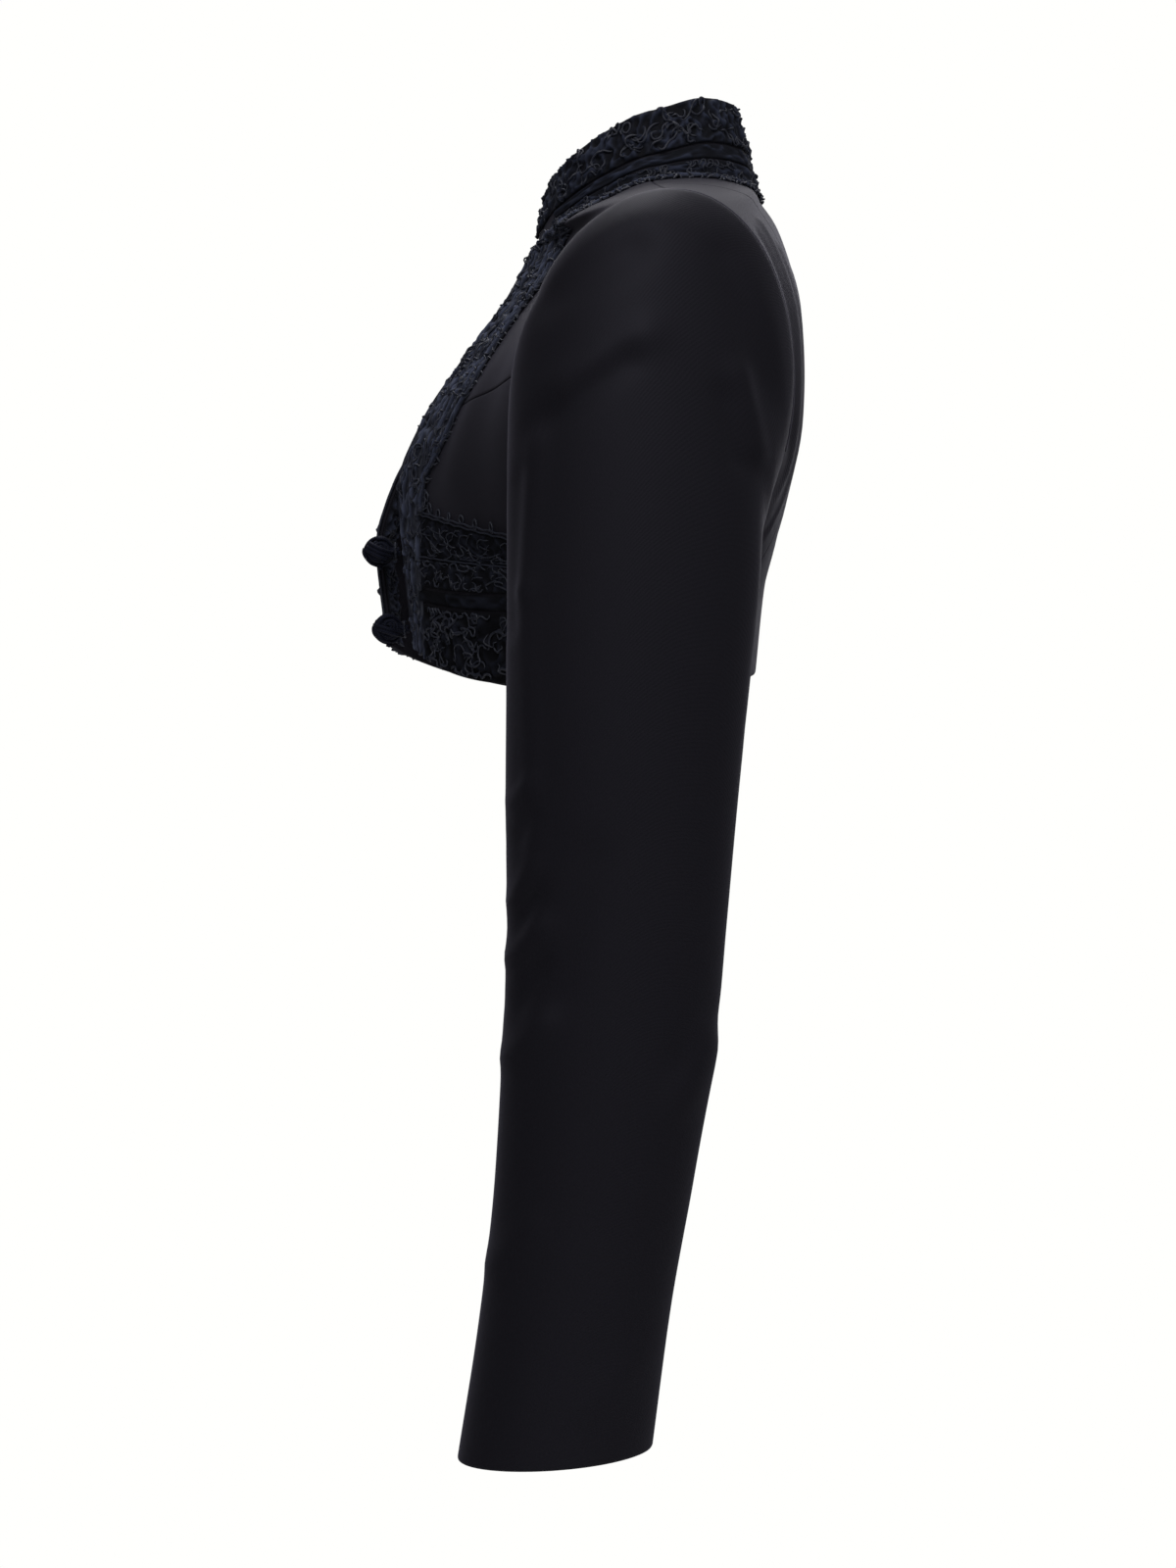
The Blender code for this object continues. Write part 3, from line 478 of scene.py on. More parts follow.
# Pieces of a sleeve: the solid of each, the turns of its seams in degrees, its width, and its rough cut
SLEEVE_PIECES = {
    "upper_sleeve": ("sleeve_top", (-32.0, 212.0), 0.22, (0.25, 0.62), 0.1195),
    "under_sleeve": ("sleeve_under", (212.0, 328.0), 0.10, (0.115, 0.45), 0.0422),
}
SLEEVE_LENGTH = 0.62

random = np.random.default_rng(23)


def table(columns, rows):
    """A table as one array per named column."""
    return dict(zip(columns, np.array(list(rows), float).T))


BODY = table(BODY_COLUMNS, BODY_ROWS.values())
ROW = {name: float(index) for index, name in enumerate(BODY_ROWS)}
NECK_CORNERS = (ROW["front_neck"], ROW["back_neck"])
COLLAR = table(COLLAR_COLUMNS, COLLAR_ROWS)
SLEEVE = table(SLEEVE_COLUMNS, SLEEVE_ROWS)
LAST_RING = len(SLEEVE_ROWS) - 1.0


# Shape of the jacket, the same as in the solids


def smooth(values, at, corners=()):
    """A monotone cubic through values at 0, 1, 2 and so on, which may turn sharply at a corner."""
    at = np.asarray(at, float)
    if corners:
        corner = int(corners[0])
        before = smooth(values[: corner + 1], np.minimum(at, corner))
        after = smooth(values[corner:], np.maximum(at, corner) - corner, [c - corner for c in corners[1:]])
        return np.where(at <= corner, before, after)
    steps = np.diff(values)
    slopes = np.zeros(len(values))
    same_way = steps[:-1] * steps[1:] > 0
    total = np.where(same_way, steps[:-1] + steps[1:], 1.0)
    slopes[1:-1] = np.where(same_way, 2 * steps[:-1] * steps[1:] / total, 0.0)
    slopes[0] = steps[0]
    slopes[-1] = steps[-1]
    low = np.clip(np.floor(at).astype(int), 0, len(values) - 2)
    u = at - low
    return (
        values[low] * (1 + 2 * u) * (1 - u) ** 2
        + slopes[low] * u * (1 - u) ** 2
        + values[low + 1] * u * u * (3 - 2 * u)
        + slopes[low + 1] * u * u * (u - 1)
    )


def ease(share):
    """A share from 0 to 1 with a soft start and end."""
    share = np.clip(share, 0.0, 1.0)
    return share * share * (3 - 2 * share)


def unit(vectors):
    """Vectors of length one."""
    return vectors / np.maximum(np.linalg.norm(vectors, axis=-1, keepdims=True), 1e-12)


def lengths_along(points):
    """Distances along each line of points from its first."""
    steps = np.linalg.norm(np.diff(points, axis=-2), axis=-1)
    start = np.zeros(steps.shape[:-1] + (1,))
    return np.concatenate((start, np.cumsum(steps, axis=-1)), axis=-1)


def mirrored(points):
    """The same points on the wearer's other side."""
    return points * np.array((-1.0, 1.0, 1.0))


def sleeve(turn, ring):
    """Points of the left sleeve's outer face at a turn in degrees from its front and a ring number."""
    turn, ring = np.broadcast_arrays(np.asarray(turn, float), np.asarray(ring, float))
    at = {name: smooth(SLEEVE[name], ring) for name in SLEEVE_COLUMNS}
    ahead = np.cos(np.radians(turn))
    outward = np.sin(np.radians(turn))
    drawn_in = np.where(ahead > 0, at["front_in"], at["back_in"]) * ahead**2
    set_back = at["top_back"] * np.maximum(outward, 0.0) ** 2
    x = (at["outer_x"] + at["inner_x"]) / 2 + (at["outer_x"] - at["inner_x"]) / 2 * outward - drawn_in
    y = (at["back_y"] + at["front_y"]) / 2 - (at["back_y"] - at["front_y"]) / 2 * ahead + set_back
    z = (at["outer_z"] + at["inner_z"]) / 2 + (at["outer_z"] - at["inner_z"]) / 2 * outward
    return np.stack((x, y, z - at["front_dip"] * ahead), axis=-1)


def edge_of(row):
    """The centre front, neckline and centre back, with a corner at each end of the neckline."""
    return [smooth(BODY[name], row, NECK_CORNERS) for name in ("edge_x", "edge_y", "edge_z")]


def body_sections(row, right):
    """The whole section at each row, from the centre edge to the side seam or armhole."""
    at = {name: smooth(BODY[name], row)[..., None] for name in BODY_COLUMNS}
    edge_x, edge_y, edge_z = (part[..., None] for part in edge_of(row))
    if right:
        on_front = row[..., None] < ROW["front_neck"]
        fallen = ease((edge_z - RIGHT_FORWARD_FROM) / (RIGHT_FORWARD_TO - RIGHT_FORWARD_FROM))
        fallen = np.where(on_front, fallen, 0.0)
        edge_y = edge_y - RIGHT_FORWARD * fallen
        edge_x = edge_x + RIGHT_EDGE_BACK * fallen
    side = sleeve(at["arm_turn"], np.zeros(at["arm_turn"].shape))
    drop = np.clip(at["side_drop"], 0.0, 1.0)
    side_x = side[..., 0] + drop * (HEM_SIDE_X - side[..., 0])
    side_z = side[..., 2] - drop * SIDE_DROP
    bend = np.radians(at["end_turn"])
    turn = np.linspace(0.0, 1.0, SECTION_STEPS + 1) * bend
    out = np.sin(turn) / np.sin(bend)
    ahead = (np.cos(turn) - np.cos(bend)) / (1 - np.cos(bend))
    ahead = ahead + at["prow"] * (1 - out - ahead)
    x = edge_x + (side_x - edge_x) * out
    y = side[..., 1] + (edge_y - side[..., 1]) * ahead
    z = edge_z + (side_z - edge_z) * out
    if not right:
        z = z - LEFT_HEM_DOWN * 4 * out * (1 - out) * np.clip(1 - row, 0.0, 1.0)[..., None]
    return np.stack((x, y, z), axis=-1)


def body(rows, distances, right):
    """Points of the body's outer face, left half: at each row, distances from the centre edge."""
    sections = body_sections(rows, right)
    lengths = lengths_along(sections)
    points = np.empty(distances.shape + (3,))
    for index, wanted in enumerate(distances):
        for axis in range(3):
            points[index, :, axis] = np.interp(wanted, lengths[index], sections[index, :, axis])
    return points


def section_lengths(rows, right):
    """The length of the whole section at each row."""
    return lengths_along(body_sections(rows, right))[:, -1]


def collar_size(column, row):
    """The collar's height or lean above a row of the neckline."""
    return smooth(COLLAR[column], np.clip(row, *NECK_CORNERS) - ROW["front_neck"])


def collar(row, rise):
    """Points of the collar's outer face: a row of the neckline and a share of its height."""
    foot = np.stack(edge_of(np.clip(row, *NECK_CORNERS)), axis=-1)
    inward = unit(-foot * np.array((1.0, 1.0, 0.0)))
    up = np.zeros(foot.shape)
    up[..., 2] = COLLAR_SEAM + rise * collar_size("height", row)
    return foot + up + (rise * collar_size("lean", row))[..., None] * inward


def grid_normals(points):
    """Unit normals of a grid: across its columns, then along its rows."""
    return unit(np.cross(np.gradient(points, axis=1), np.gradient(points, axis=0)))


# Meshes and pieces


def add_piece(name, points, faces, corners, material):
    """A mesh object that rides on the jacket, with its corners' places on the flat cloth or cord."""
    mesh = bpy.data.meshes.new(name)
    mesh.from_pydata(points.tolist(), [], faces)
    mesh.uv_layers.new(name="cut").uv.foreach_set("vector", np.asarray(corners, float).ravel())
    mesh.shade_smooth()
    mesh.materials.append(material)
    piece = bpy.data.objects.new(name, mesh)
    bpy.context.scene.collection.objects.link(piece)
    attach(piece, "root")
    return piece


def add_wall(name, outer, inner, material):
    """A closed wall between two grids of points, with a rim all round."""
    rows, columns = outer.shape[:2]
    count = rows * columns
    index = np.arange(count).reshape(rows, columns)
    quads = np.stack((index[:-1, :-1], index[:-1, 1:], index[1:, 1:], index[1:, :-1]), axis=-1)
    quads = quads.reshape(-1, 4)
    border = np.concatenate((index[0, :-1], index[:-1, -1], index[-1, :0:-1], index[:0:-1, 0]))
    ahead = np.roll(border, -1)
    rim = np.stack((ahead, border, border + count, ahead + count), axis=-1)
    faces = np.concatenate((quads, quads[:, ::-1] + count, rim))
    row, column = rows // 2, columns // 2
    along = outer[row, column] - outer[row - 1, column]
    across = outer[row, column] - outer[row, column - 1]
    if np.cross(across, along) @ (outer[row, column] - inner[row, column]) < 0:
        faces = faces[:, ::-1]
    flat = np.stack((lengths_along(outer), lengths_along(outer.swapaxes(0, 1)).T), axis=-1)
    corners = np.concatenate((flat, flat)).reshape(-1, 2)[faces.ravel()]
    points = np.concatenate((outer.reshape(-1, 3), inner.reshape(-1, 3)))
    return add_piece(name, points, faces.tolist(), corners, material)


class CordBundle:
    """Many cords as one mesh of round tubes with closed ends."""

    def __init__(self):
        self.points = []
        self.faces = []
        self.corners = []
        self.count = 0

    def add(self, path, up, radius, sides=CORD_SIDES):
        """A tube along a path, with the direction that is up at each point, and its radius there."""
        ahead = unit(np.gradient(path, axis=0))
        aside = unit(np.cross(ahead, up))
        up = np.cross(aside, ahead)
        share = np.arange(sides) / sides
        turn = 2 * math.pi * share
        ring = np.cos(turn)[:, None] * up[:, None] + np.sin(turn)[:, None] * aside[:, None]
        radius = np.broadcast_to(radius, len(path))
        self.points.append((path[:, None] + radius[:, None, None] * ring).reshape(-1, 3))
        here = self.count + np.arange(len(path) - 1)[:, None] * sides + np.arange(sides)
        there = self.count + np.arange(len(path) - 1)[:, None] * sides + (np.arange(sides) + 1) % sides
        quads = np.stack((here, there, there + sides, here + sides), axis=-1).reshape(-1, 4)
        along = lengths_along(path)
        low = np.repeat(along[:-1, None], sides, axis=1)
        high = np.repeat(along[1:, None], sides, axis=1)
        left = np.broadcast_to(share, low.shape)
        right = left + 1 / sides
        corner = np.stack((left, low, right, low, right, high, left, high), axis=-1)
        self.faces += quads.tolist()
        self.corners.append(corner.reshape(-1, 2))
        last = self.count + (len(path) - 1) * sides
        self.faces.append((self.count + np.arange(sides))[::-1].tolist())
        self.faces.append((last + np.arange(sides)).tolist())
        self.corners.append(np.stack((share, np.zeros(sides)), axis=-1))
        self.corners.append(np.stack((share, np.full(sides, along[-1])), axis=-1))
        self.count += len(path) * sides

    def piece(self, name, material, slot):
        """All the cords so far as one piece."""
        points = np.concatenate(self.points)
        return add_piece(name, points, self.faces, np.concatenate(self.corners), material)


# Cloth panels


def edged(first, last, length, step):
    """Places from first to last, about a step apart, closer at both ends where the edge rounds over."""
    count = max(int(round(length / step)), FEWEST_STEPS)
    middle = np.linspace(first, last, count + 1)
    near = np.array(EDGE_PLACES) / length * (last - first)
    return np.concatenate(([first], first + near, middle[1:-1], (last - near)[::-1], [last]))


def crease_heights(lines, across, along):
    """The sum of soft ridges and troughs, each a line with round ends, over a grid of flat places."""
    total = np.zeros(across.shape)
    for start, end, width, height, weight in lines:
        run = np.array(end) - np.array(start)
        share = ((across - start[0]) * run[0] + (along - start[1]) * run[1]) / (run @ run)
        share = np.clip(share, 0.0, 1.0)
        far = np.hypot(across - start[0] - share * run[0], along - start[1] - share * run[1])
        total += height * weight * np.exp(-((far / width) ** 2))
    return total


def cloth_panel(name, outer, material, flip, right):
    """A thin panel with turned edges from the grid of its outer face."""
    normals = grid_normals(outer) * (-1.0 if flip else 1.0)
    across = lengths_along(outer)
    along = lengths_along(outer.swapaxes(0, 1)).T
    sides = np.minimum(across, across[:, -1:] - across)
    ends = np.minimum(along, along[-1:] - along)
    near = np.clip(np.minimum(sides, ends) / EDGE_ROUND, 0.0, 1.0)
    thin = (1 - np.sqrt(1 - (1 - near) ** 2)) * (1 - EDGE_RIM) * CLOTH / 2
    face = outer - thin[..., None] * normals
    back = outer - (CLOTH - thin)[..., None] * normals
    if right:
        face, back = mirrored(face), mirrored(back)
    return add_wall(name, face, back, material)


def body_panel(name, first_row, last_row, first_share, last_share, length, width, material, right):
    """A panel of the body between two rows and two shares of its sections."""
    corners = [corner for corner in NECK_CORNERS if first_row < corner < last_row]
    rows = np.union1d(edged(first_row, last_row, length, CLOTH_STEP), corners)
    shares = edged(first_share, last_share, width, CLOTH_STEP)
    outer = body(rows, shares * section_lengths(rows, right)[:, None], right)
    lines = []
    for values in PANEL_CREASES:
        crease = dict(zip(PANEL_CREASE_COLUMNS, values))
        start = (crease["from_share"] * SECTION_TYPICAL, crease["from_row"] * ROW_TYPICAL)
        end = (crease["to_share"] * SECTION_TYPICAL, crease["to_row"] * ROW_TYPICAL)
        lines.append((start, end, crease["width"], crease["height"], 1.0))
    share, row = np.meshgrid(shares, rows)
    heights = crease_heights(lines, share * SECTION_TYPICAL, row * ROW_TYPICAL)
    outer = outer + heights[..., None] * grid_normals(outer)
    outer[..., 0] = np.maximum(outer[..., 0], 0.0)
    if first_share == 0.0:
        # The centre backs are sewn together, with no light between them
        outer[rows >= ROW["back_neck"], 0, 0] = -SEAM_OVERLAP
    return cloth_panel(name, outer, material, False, right)


def cap_roll(from_seam):
    """How far the sleeve's cap swells beside the armhole seam, by the distance from it."""
    share = from_seam / CAP_ROLL_AT
    return CAP_ROLL * share * np.exp(1 - share)


def sleeve_panel(name, seams, width, material, right):
    """One piece of a sleeve between two seams, from the armhole seam to the cuff."""
    turns = edged(*seams, width, CLOTH_STEP)
    rings = edged(0.0, LAST_RING, SLEEVE_LENGTH, CLOTH_STEP)
    turn, ring = np.meshgrid(turns, rings)
    outer = sleeve(turn, ring)
    outward = np.sin(np.radians(turn))
    lines = []
    for number, values in enumerate(SLEEVE_CREASES):
        crease = dict(zip(CREASE_COLUMNS, values))
        shift = RIGHT_CREASE_SHIFT * (-1) ** number if right else 0.0
        start = (crease["from_y"], crease["from_z"] + shift)
        end = (crease["to_y"], crease["to_z"] + shift)
        weight = ease(0.5 + crease["face"] * outward * 2)
        lines.append((start, end, crease["width"], crease["height"], weight))
    heights = SLEEVE_CREASE_DEPTH * crease_heights(lines, outer[..., 1], outer[..., 2])
    from_seam = lengths_along(outer.swapaxes(0, 1)).T
    heights += cap_roll(from_seam) * ease((outward + CAP_ROLL_BELOW) / CAP_ROLL_FADE)
    outer = outer - heights[..., None] * grid_normals(outer)
    return cloth_panel(name, outer, material, True, right)


def seam_fold(name, material, right):
    """The folded edge of the sleeve along the top of the armhole seam."""
    turns = np.arange(*SEAM_FOLD_TURNS, SEAM_FOLD_TURN_STEP)
    turn, ring = np.meshgrid(turns, np.linspace(0.0, SEAM_FOLD_RINGS, SEAM_FOLD_STEPS))
    points = sleeve(turn, ring)
    from_seam = lengths_along(points.swapaxes(0, 1)).T
    row = np.argmin(np.abs(from_seam - SEAM_FOLD_AT), axis=0)
    column = np.arange(len(turns))
    up = -grid_normals(points)[row, column]
    path = points[row, column] + cap_roll(SEAM_FOLD_AT) * up
    if right:
        path, up = mirrored(path), mirrored(up)
    bundle = CordBundle()
    bundle.add(path, up, SEAM_FOLD_RADIUS)
    return bundle.piece(name, material, "twill")


def collar_panel(name, material):
    """The stand collar, open at the centre front."""
    half = np.linspace(*NECK_CORNERS, COLLAR_HALF_STEPS)
    rises = edged(-COLLAR_TUCK, 1.0, COLLAR_TYPICAL, COLLAR_STEP)
    row, rise = np.meshgrid(half, rises)
    left = collar(row, rise)
    outer = np.concatenate((left, mirrored(left[:, -2::-1])), axis=1)
    beside = COLLAR_HALF_STEPS // 2
    outward = outer[0, beside] @ grid_normals(outer)[len(rises) // 2, beside]
    return cloth_panel(name, outer, material, outward < 0, False)


# Trim laid on the cloth


def blend(grid, row, column, u, v):
    """A grid's values between a row and column and the next ones, by the shares u and v."""
    near = grid[row, column] * (1 - v) + grid[row, column + 1] * v
    far = grid[row + 1, column] * (1 - v) + grid[row + 1, column + 1] * v
    return near * (1 - u) + far * u


class Ground:
    """Part of the jacket's outer face, read by metres along and across it."""

    def __init__(self, points, normals, right=False):
        self.points = mirrored(points) if right else points
        self.normals = mirrored(normals) if right else normals

    def lay(self, along, across, height):
        """Points at a height over the cloth, and the way out from the cloth there."""
        along, across = np.broadcast_arrays(np.asarray(along, float), np.asarray(across, float))
        rows, columns = self.points.shape[:2]
        row = np.clip(np.floor(along / GROUND_STEP).astype(int), 0, rows - 2)
        column = np.clip(np.floor(across / GROUND_STEP).astype(int), 0, columns - 2)
        u = (along / GROUND_STEP - row)[..., None]
        v = (across / GROUND_STEP - column)[..., None]
        out = unit(blend(self.normals, row, column, u, v))
        return blend(self.points, row, column, u, v) + np.asarray(height)[..., None] * out, out


def front_ground(last_row, reach, right):
    """The cloth beside a front edge and neckline: along the edge from the hem, and across from the edge."""
    fine = np.linspace(0.0, last_row, FRONT_EDGE_STEPS)
    edge = body(fine, np.zeros((len(fine), 1)), right)[:, 0]
    lengths = lengths_along(edge)
    steps = np.append(np.arange(0.0, lengths[-1], GROUND_STEP), lengths[-1])
    rows = np.interp(steps, lengths, fine)
    across = np.arange(0.0, reach, GROUND_STEP)
    points = body(rows, np.repeat(across[None], len(rows), axis=0), right)
    ground = Ground(points, grid_normals(points), right)
    ground.along_at = lambda row: np.interp(row, fine, lengths)
    ground.row_at = lambda along: np.interp(along, lengths, fine)
    return ground


def collar_ground():
    """The collar's outer face: along the neckline from the left front to the right, and down from its top."""
    fine = np.linspace(*NECK_CORNERS, NECKLINE_STEPS)
    lengths = lengths_along(np.stack(edge_of(fine), axis=-1))
    half = int(lengths[-1] / GROUND_STEP)
    rows = np.interp(np.linspace(0.0, lengths[-1], half + 1), lengths, fine)
    down = np.arange(0.0, COLLAR_DEPTH, GROUND_STEP)
    rise = 1 - down[None] / collar_size("height", rows)[:, None]
    left = collar(np.repeat(rows[:, None], len(down), axis=1), rise)
    points = np.concatenate((left, mirrored(left[-2::-1])))
    normals = grid_normals(points)
    outward = np.sum(normals * points * np.array((1.0, 1.0, 0.0)), axis=-1)
    ground = Ground(points, normals * np.sign(outward)[..., None])
    ground.length = 2 * half * GROUND_STEP
    ground.row_at = lambda along: np.interp(np.minimum(along, ground.length - along), lengths, fine)
    return ground


class TurnedGround:
    """A ground read the other way: along its columns, and across its rows."""

    def __init__(self, ground):
        self.ground = ground

    def lay(self, along, across, height):
        return self.ground.lay(across, along, height)


class Underside:
    """The inner face of a ground's cloth."""

    def __init__(self, ground):
        self.ground = ground

    def lay(self, along, across, height):
        points, out = self.ground.lay(along, across, -CLOTH - np.asarray(height))
        return points, -out


def level(distance):
    """An edge of a band that keeps one distance across its ground."""
    return lambda along: 0.0 * along + distance


def soft_noise(shape, along_cells, across_cells):
    """Smooth noise over a grid, its spread one, with lumps of about this many cells along and across."""
    field = random.standard_normal(shape)
    for axis, cells in enumerate((along_cells, across_cells)):
        reach = min(int(NOISE_REACH * cells) + 1, (shape[axis] - 1) // 2)
        kernel = np.exp(-((np.arange(-reach, reach + 1) / cells) ** 2))
        field = np.apply_along_axis(np.convolve, axis, field, kernel, mode="same")
    return field / field.std()


class Band:
    """A strip of trim on a ground: a wall of uneven height, and a ground for the cords on top of it."""

    def __init__(self, ground, along, low, high, heights):
        self.ground = ground
        self.along = along
        self.low = low
        self.high = high
        self.heights = heights

    def lay(self, along, across, height):
        along, across = np.broadcast_arrays(np.asarray(along, float), np.asarray(across, float))
        rows, columns = self.heights.shape
        low = np.interp(along, self.along, self.low)
        high = np.interp(along, self.along, self.high)
        row = np.clip(np.interp(along, self.along, np.arange(rows)), 0, rows - 1.001)
        column = np.clip((across - low) / (high - low) * (columns - 1), 0, columns - 1.001)
        i = row.astype(int)
        j = column.astype(int)
        return self.ground.lay(along, across, blend(self.heights, i, j, row - i, column - j) + height)

    def piece(self, name, material):
        """The band's wall, with the height of its relief kept at each point, by which its material paints
        shade into the pits.
        """
        columns = self.heights.shape[1]
        across = self.low[:, None] + (self.high - self.low)[:, None] * np.linspace(0.0, 1.0, columns)
        along = np.repeat(self.along[:, None], columns, axis=1)
        top = self.ground.lay(along, across, self.heights)[0]
        foot = self.ground.lay(along, across, np.full(across.shape, BAND_FOOT))[0]
        piece = add_wall(name, top, foot, material)
        # The relief's height, from which the material paints shade into the pits
        rise = np.clip(self.heights / np.percentile(self.heights, FULL_RIDGE), 0.0, 1.0)
        relief = piece.data.attributes.new("relief", "FLOAT", "POINT")
        relief.data.foreach_set("value", np.concatenate((rise.ravel(), np.zeros(rise.size))))
        return piece


def felted(ground, kind, first, last, low, high, step=FELT_STEP):
    """A felted band: soft ridges along wandering lines with pits between them, drawn out along the band."""
    thick, lump, stretch = FELT[kind]
    along = np.linspace(first, last, int((last - first) / step))
    low, high = low(along), high(along)
    columns = max(int(np.max(high - low) / step), FEWEST_COLUMNS)
    shape = (len(along), columns)
    cells = lump / step
    ridges = np.exp(-((soft_noise(shape, cells * stretch, cells) / RIDGE_SPREAD) ** 2))
    lumps = soft_noise(shape, cells * FINE_LUMPS * stretch, cells * FINE_LUMPS)
    heights = thick * np.clip(PIT_SHARE + RIDGE_SHARE * ridges + LUMP_SHARE * lumps, *FELT_LIMITS)
    column = np.arange(columns)
    sides = np.minimum(column, columns - 1 - column) * step
    heights = BAND_FOOT + BAND_RIM + heights * ease((sides + BAND_RIM) / BAND_SIDE)
    return Band(ground, along, low, high, heights)


def wander(start, low, high, length, tight, loose):
    """A curly line from a start: arcs of changing radius that turn back before they leave the band."""
    along, across = start
    heading = random.uniform(0.0, 2 * math.pi)
    places = []
    left_to_run = 0.0
    bend = 0.0
    for _ in range(int(length / CURL_STEP)):
        if left_to_run <= 0:
            radius = tight * (loose / tight) ** random.uniform(0.0, 1.0)
            bend = random.choice((-1.0, 1.0)) / radius
            left_to_run = min(radius * random.uniform(*ARC_RADIANS), ARC_LONGEST)
        room_low = across - low(along)
        room_high = high(along) - across
        if min(room_low, room_high) < tight and (room_low < room_high) == (math.sin(heading) < 0):
            away = math.cos(heading) > 0
            bend = (1.0 if away == (room_low < room_high) else -1.0) / tight
            left_to_run = tight * TURN_BACK_RADIANS
        heading += bend * CURL_STEP
        along += CURL_STEP * math.cos(heading)
        across += CURL_STEP * math.sin(heading)
        across = min(max(across, low(along)), high(along))
        left_to_run -= CURL_STEP
        places.append((along, across))
    return np.array(places)


def cord_on(bundle, ground, places, base, radius):
    """A cord along flat places on the ground, rising and falling over its neighbours, its ends tucked in."""
    run = lengths_along(places)
    wave = np.sin(2 * math.pi * run / random.uniform(*CORD_WAVES) + random.uniform(0.0, 2 * math.pi))
    tuck = ease(np.minimum(run, run[-1] - run) / CORD_TUCK)
    path, up = ground.lay(places[:, 0], places[:, 1], (base + CORD_SWING * wave) * tuck)
    bundle.add(path, up, radius * (CORD_TIP + (1 - CORD_TIP) * tuck))


def curls(bundle, ground, kind, first, last, low, high):
    """Short curled cords laid over a band between first and last along the ground."""
    coverage, radius, lengths, bends, stretch = CURLS[kind]
    middle = np.linspace(first, last, 60)
    area = (last - first) * float(np.mean([high(a) - low(a) for a in middle]))
    wanted = coverage * area / (2 * radius)
    laid = 0.0
    offset = random.uniform(0.0, 1.0)
    while laid < wanted:
        offset += 1.0
        along = first + (last - first) * (offset * SPREAD_ALONG % 1.0)
        across = low(along) + (high(along) - low(along)) * (offset * SPREAD_ACROSS % 1.0)
        length = random.uniform(*lengths)
        places = wander((along, across), low, high, length, *bends)
        places[:, 0] = np.clip(along + stretch * (places[:, 0] - along), first, last)
        base = random.uniform(*CURL_HEIGHTS)
        cord_on(bundle, ground, places, base, radius * random.uniform(*CURL_THICKNESS))
        laid += length


def hooks(bundle, ground, kind, first, last, edge):
    """Loose ends along an edge: short cords that run out over the cloth and hook round."""
    inset, reach, spacing, radius = HOOKS[kind]
    along = first
    while along < last:
        side = random.choice((-1.0, 1.0))
        heading = math.pi / 2 + side * random.uniform(*HOOK_LEANS)
        length = reach * random.uniform(*HOOK_LENGTHS)
        count = max(int(length / HOOK_STEP), HOOK_FEWEST)
        bend = -side * np.linspace(random.uniform(*HOOK_ROOT_BENDS), random.uniform(*HOOK_TIP_BENDS), count)
        turned = heading + np.cumsum(bend) * HOOK_STEP
        places = np.stack((np.cumsum(np.cos(turned)), np.cumsum(np.sin(turned))), axis=-1) * HOOK_STEP
        places += (along, edge(along) - inset)
        cord_on(bundle, ground, places, random.uniform(*HOOK_HEIGHTS), radius)
        along += spacing * random.uniform(*HOOK_SPACINGS)


def picots(bundle, ground, rings):
    """Small thread rings along an edge: for each, where it stands, its height above the edge and its size."""
    turn = np.linspace(0.0, PICOT_ROUND, PICOT_STEPS)
    for along, across, size in rings:
        tilt = random.uniform(0.0, 2 * math.pi)
        stretch = random.uniform(*PICOT_STRETCHES)
        along = along + size * stretch * np.cos(turn + tilt)
        across = across + size * np.sin(turn + tilt)
        path, up = ground.lay(along, across, PICOT_HEIGHT + PICOT_TILT * np.sin(turn))
        bundle.add(path, up, PICOT_RADIUS)


def strand(bundle, ground, along, across, height, radius, wobble):
    """One smooth cord along the trim."""
    phase = random.uniform(0.0, 2 * math.pi)
    across = across + wobble * np.sin(2 * math.pi * along / STRAND_WAVE + phase)
    path, up = ground.lay(along, across, np.full(along.shape, height))
    bundle.add(path, up, radius)


def collar_trim(felt, cord):
    """The felted band along the collar's top, the braid below it and the drawn-out strip at its foot."""
    ground = collar_ground()

    def height_at(along):
        return collar_size("height", ground.row_at(along))

    def band_foot(along):
        return np.minimum(COLLAR_BAND_WIDTH, COLLAR_BAND_SHARE * height_at(along))

    def braid_top(along):
        return band_foot(along) + BRAID_GAP

    def braid_foot(along):
        return braid_top(along) + COLLAR_BRAID_SHARE * (height_at(along) - braid_top(along))

    def strip_top(along):
        return braid_foot(along) + STRIP_GAP

    def strip_foot(along):
        return height_at(along) - FOOT_GAP

    length = ground.length
    band = felted(ground, "collar_band", 0.0, length, level(-COLLAR_BAND_OVER), band_foot)
    piece = band.piece("collar_band", felt)
    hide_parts("collar_trim")
    bundle = CordBundle()
    ends = (CURL_INSET, length - CURL_INSET)
    curls(bundle, band, "collar_band", *ends, level(-COLLAR_CURLS_OVER), band_foot)
    cords = bundle.piece("collar_curls", cord, "cord")
    half = np.linspace(0.0, length / 2, 200)
    first = float(np.interp(ROW["neck_front_side"], ground.row_at(half), half))
    last = length - first
    braid = felted(ground, "collar_braid", first, last, braid_top, braid_foot)
    braid = braid.piece("collar_braid_upper", felt)
    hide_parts("collar_braid")
    strip = felted(ground, "collar_foot", first, last, strip_top, strip_foot)
    strip_piece = strip.piece("collar_braid_lower", felt)
    bundle = CordBundle()
    curls(bundle, strip, "collar_foot", first, last, strip_top, strip_foot)
    foot_cords = bundle.piece("collar_foot_curls", cord, "cord")


def trim_start(rows):
    """How far from the edge the second strip begins: beside the front band, then at the neck seam."""
    turned = ease((rows - NECK_TURN_FROM) / NECK_TURN_ROWS)
    return BRAID_START + (NECK_EDGE_START - BRAID_START) * turned


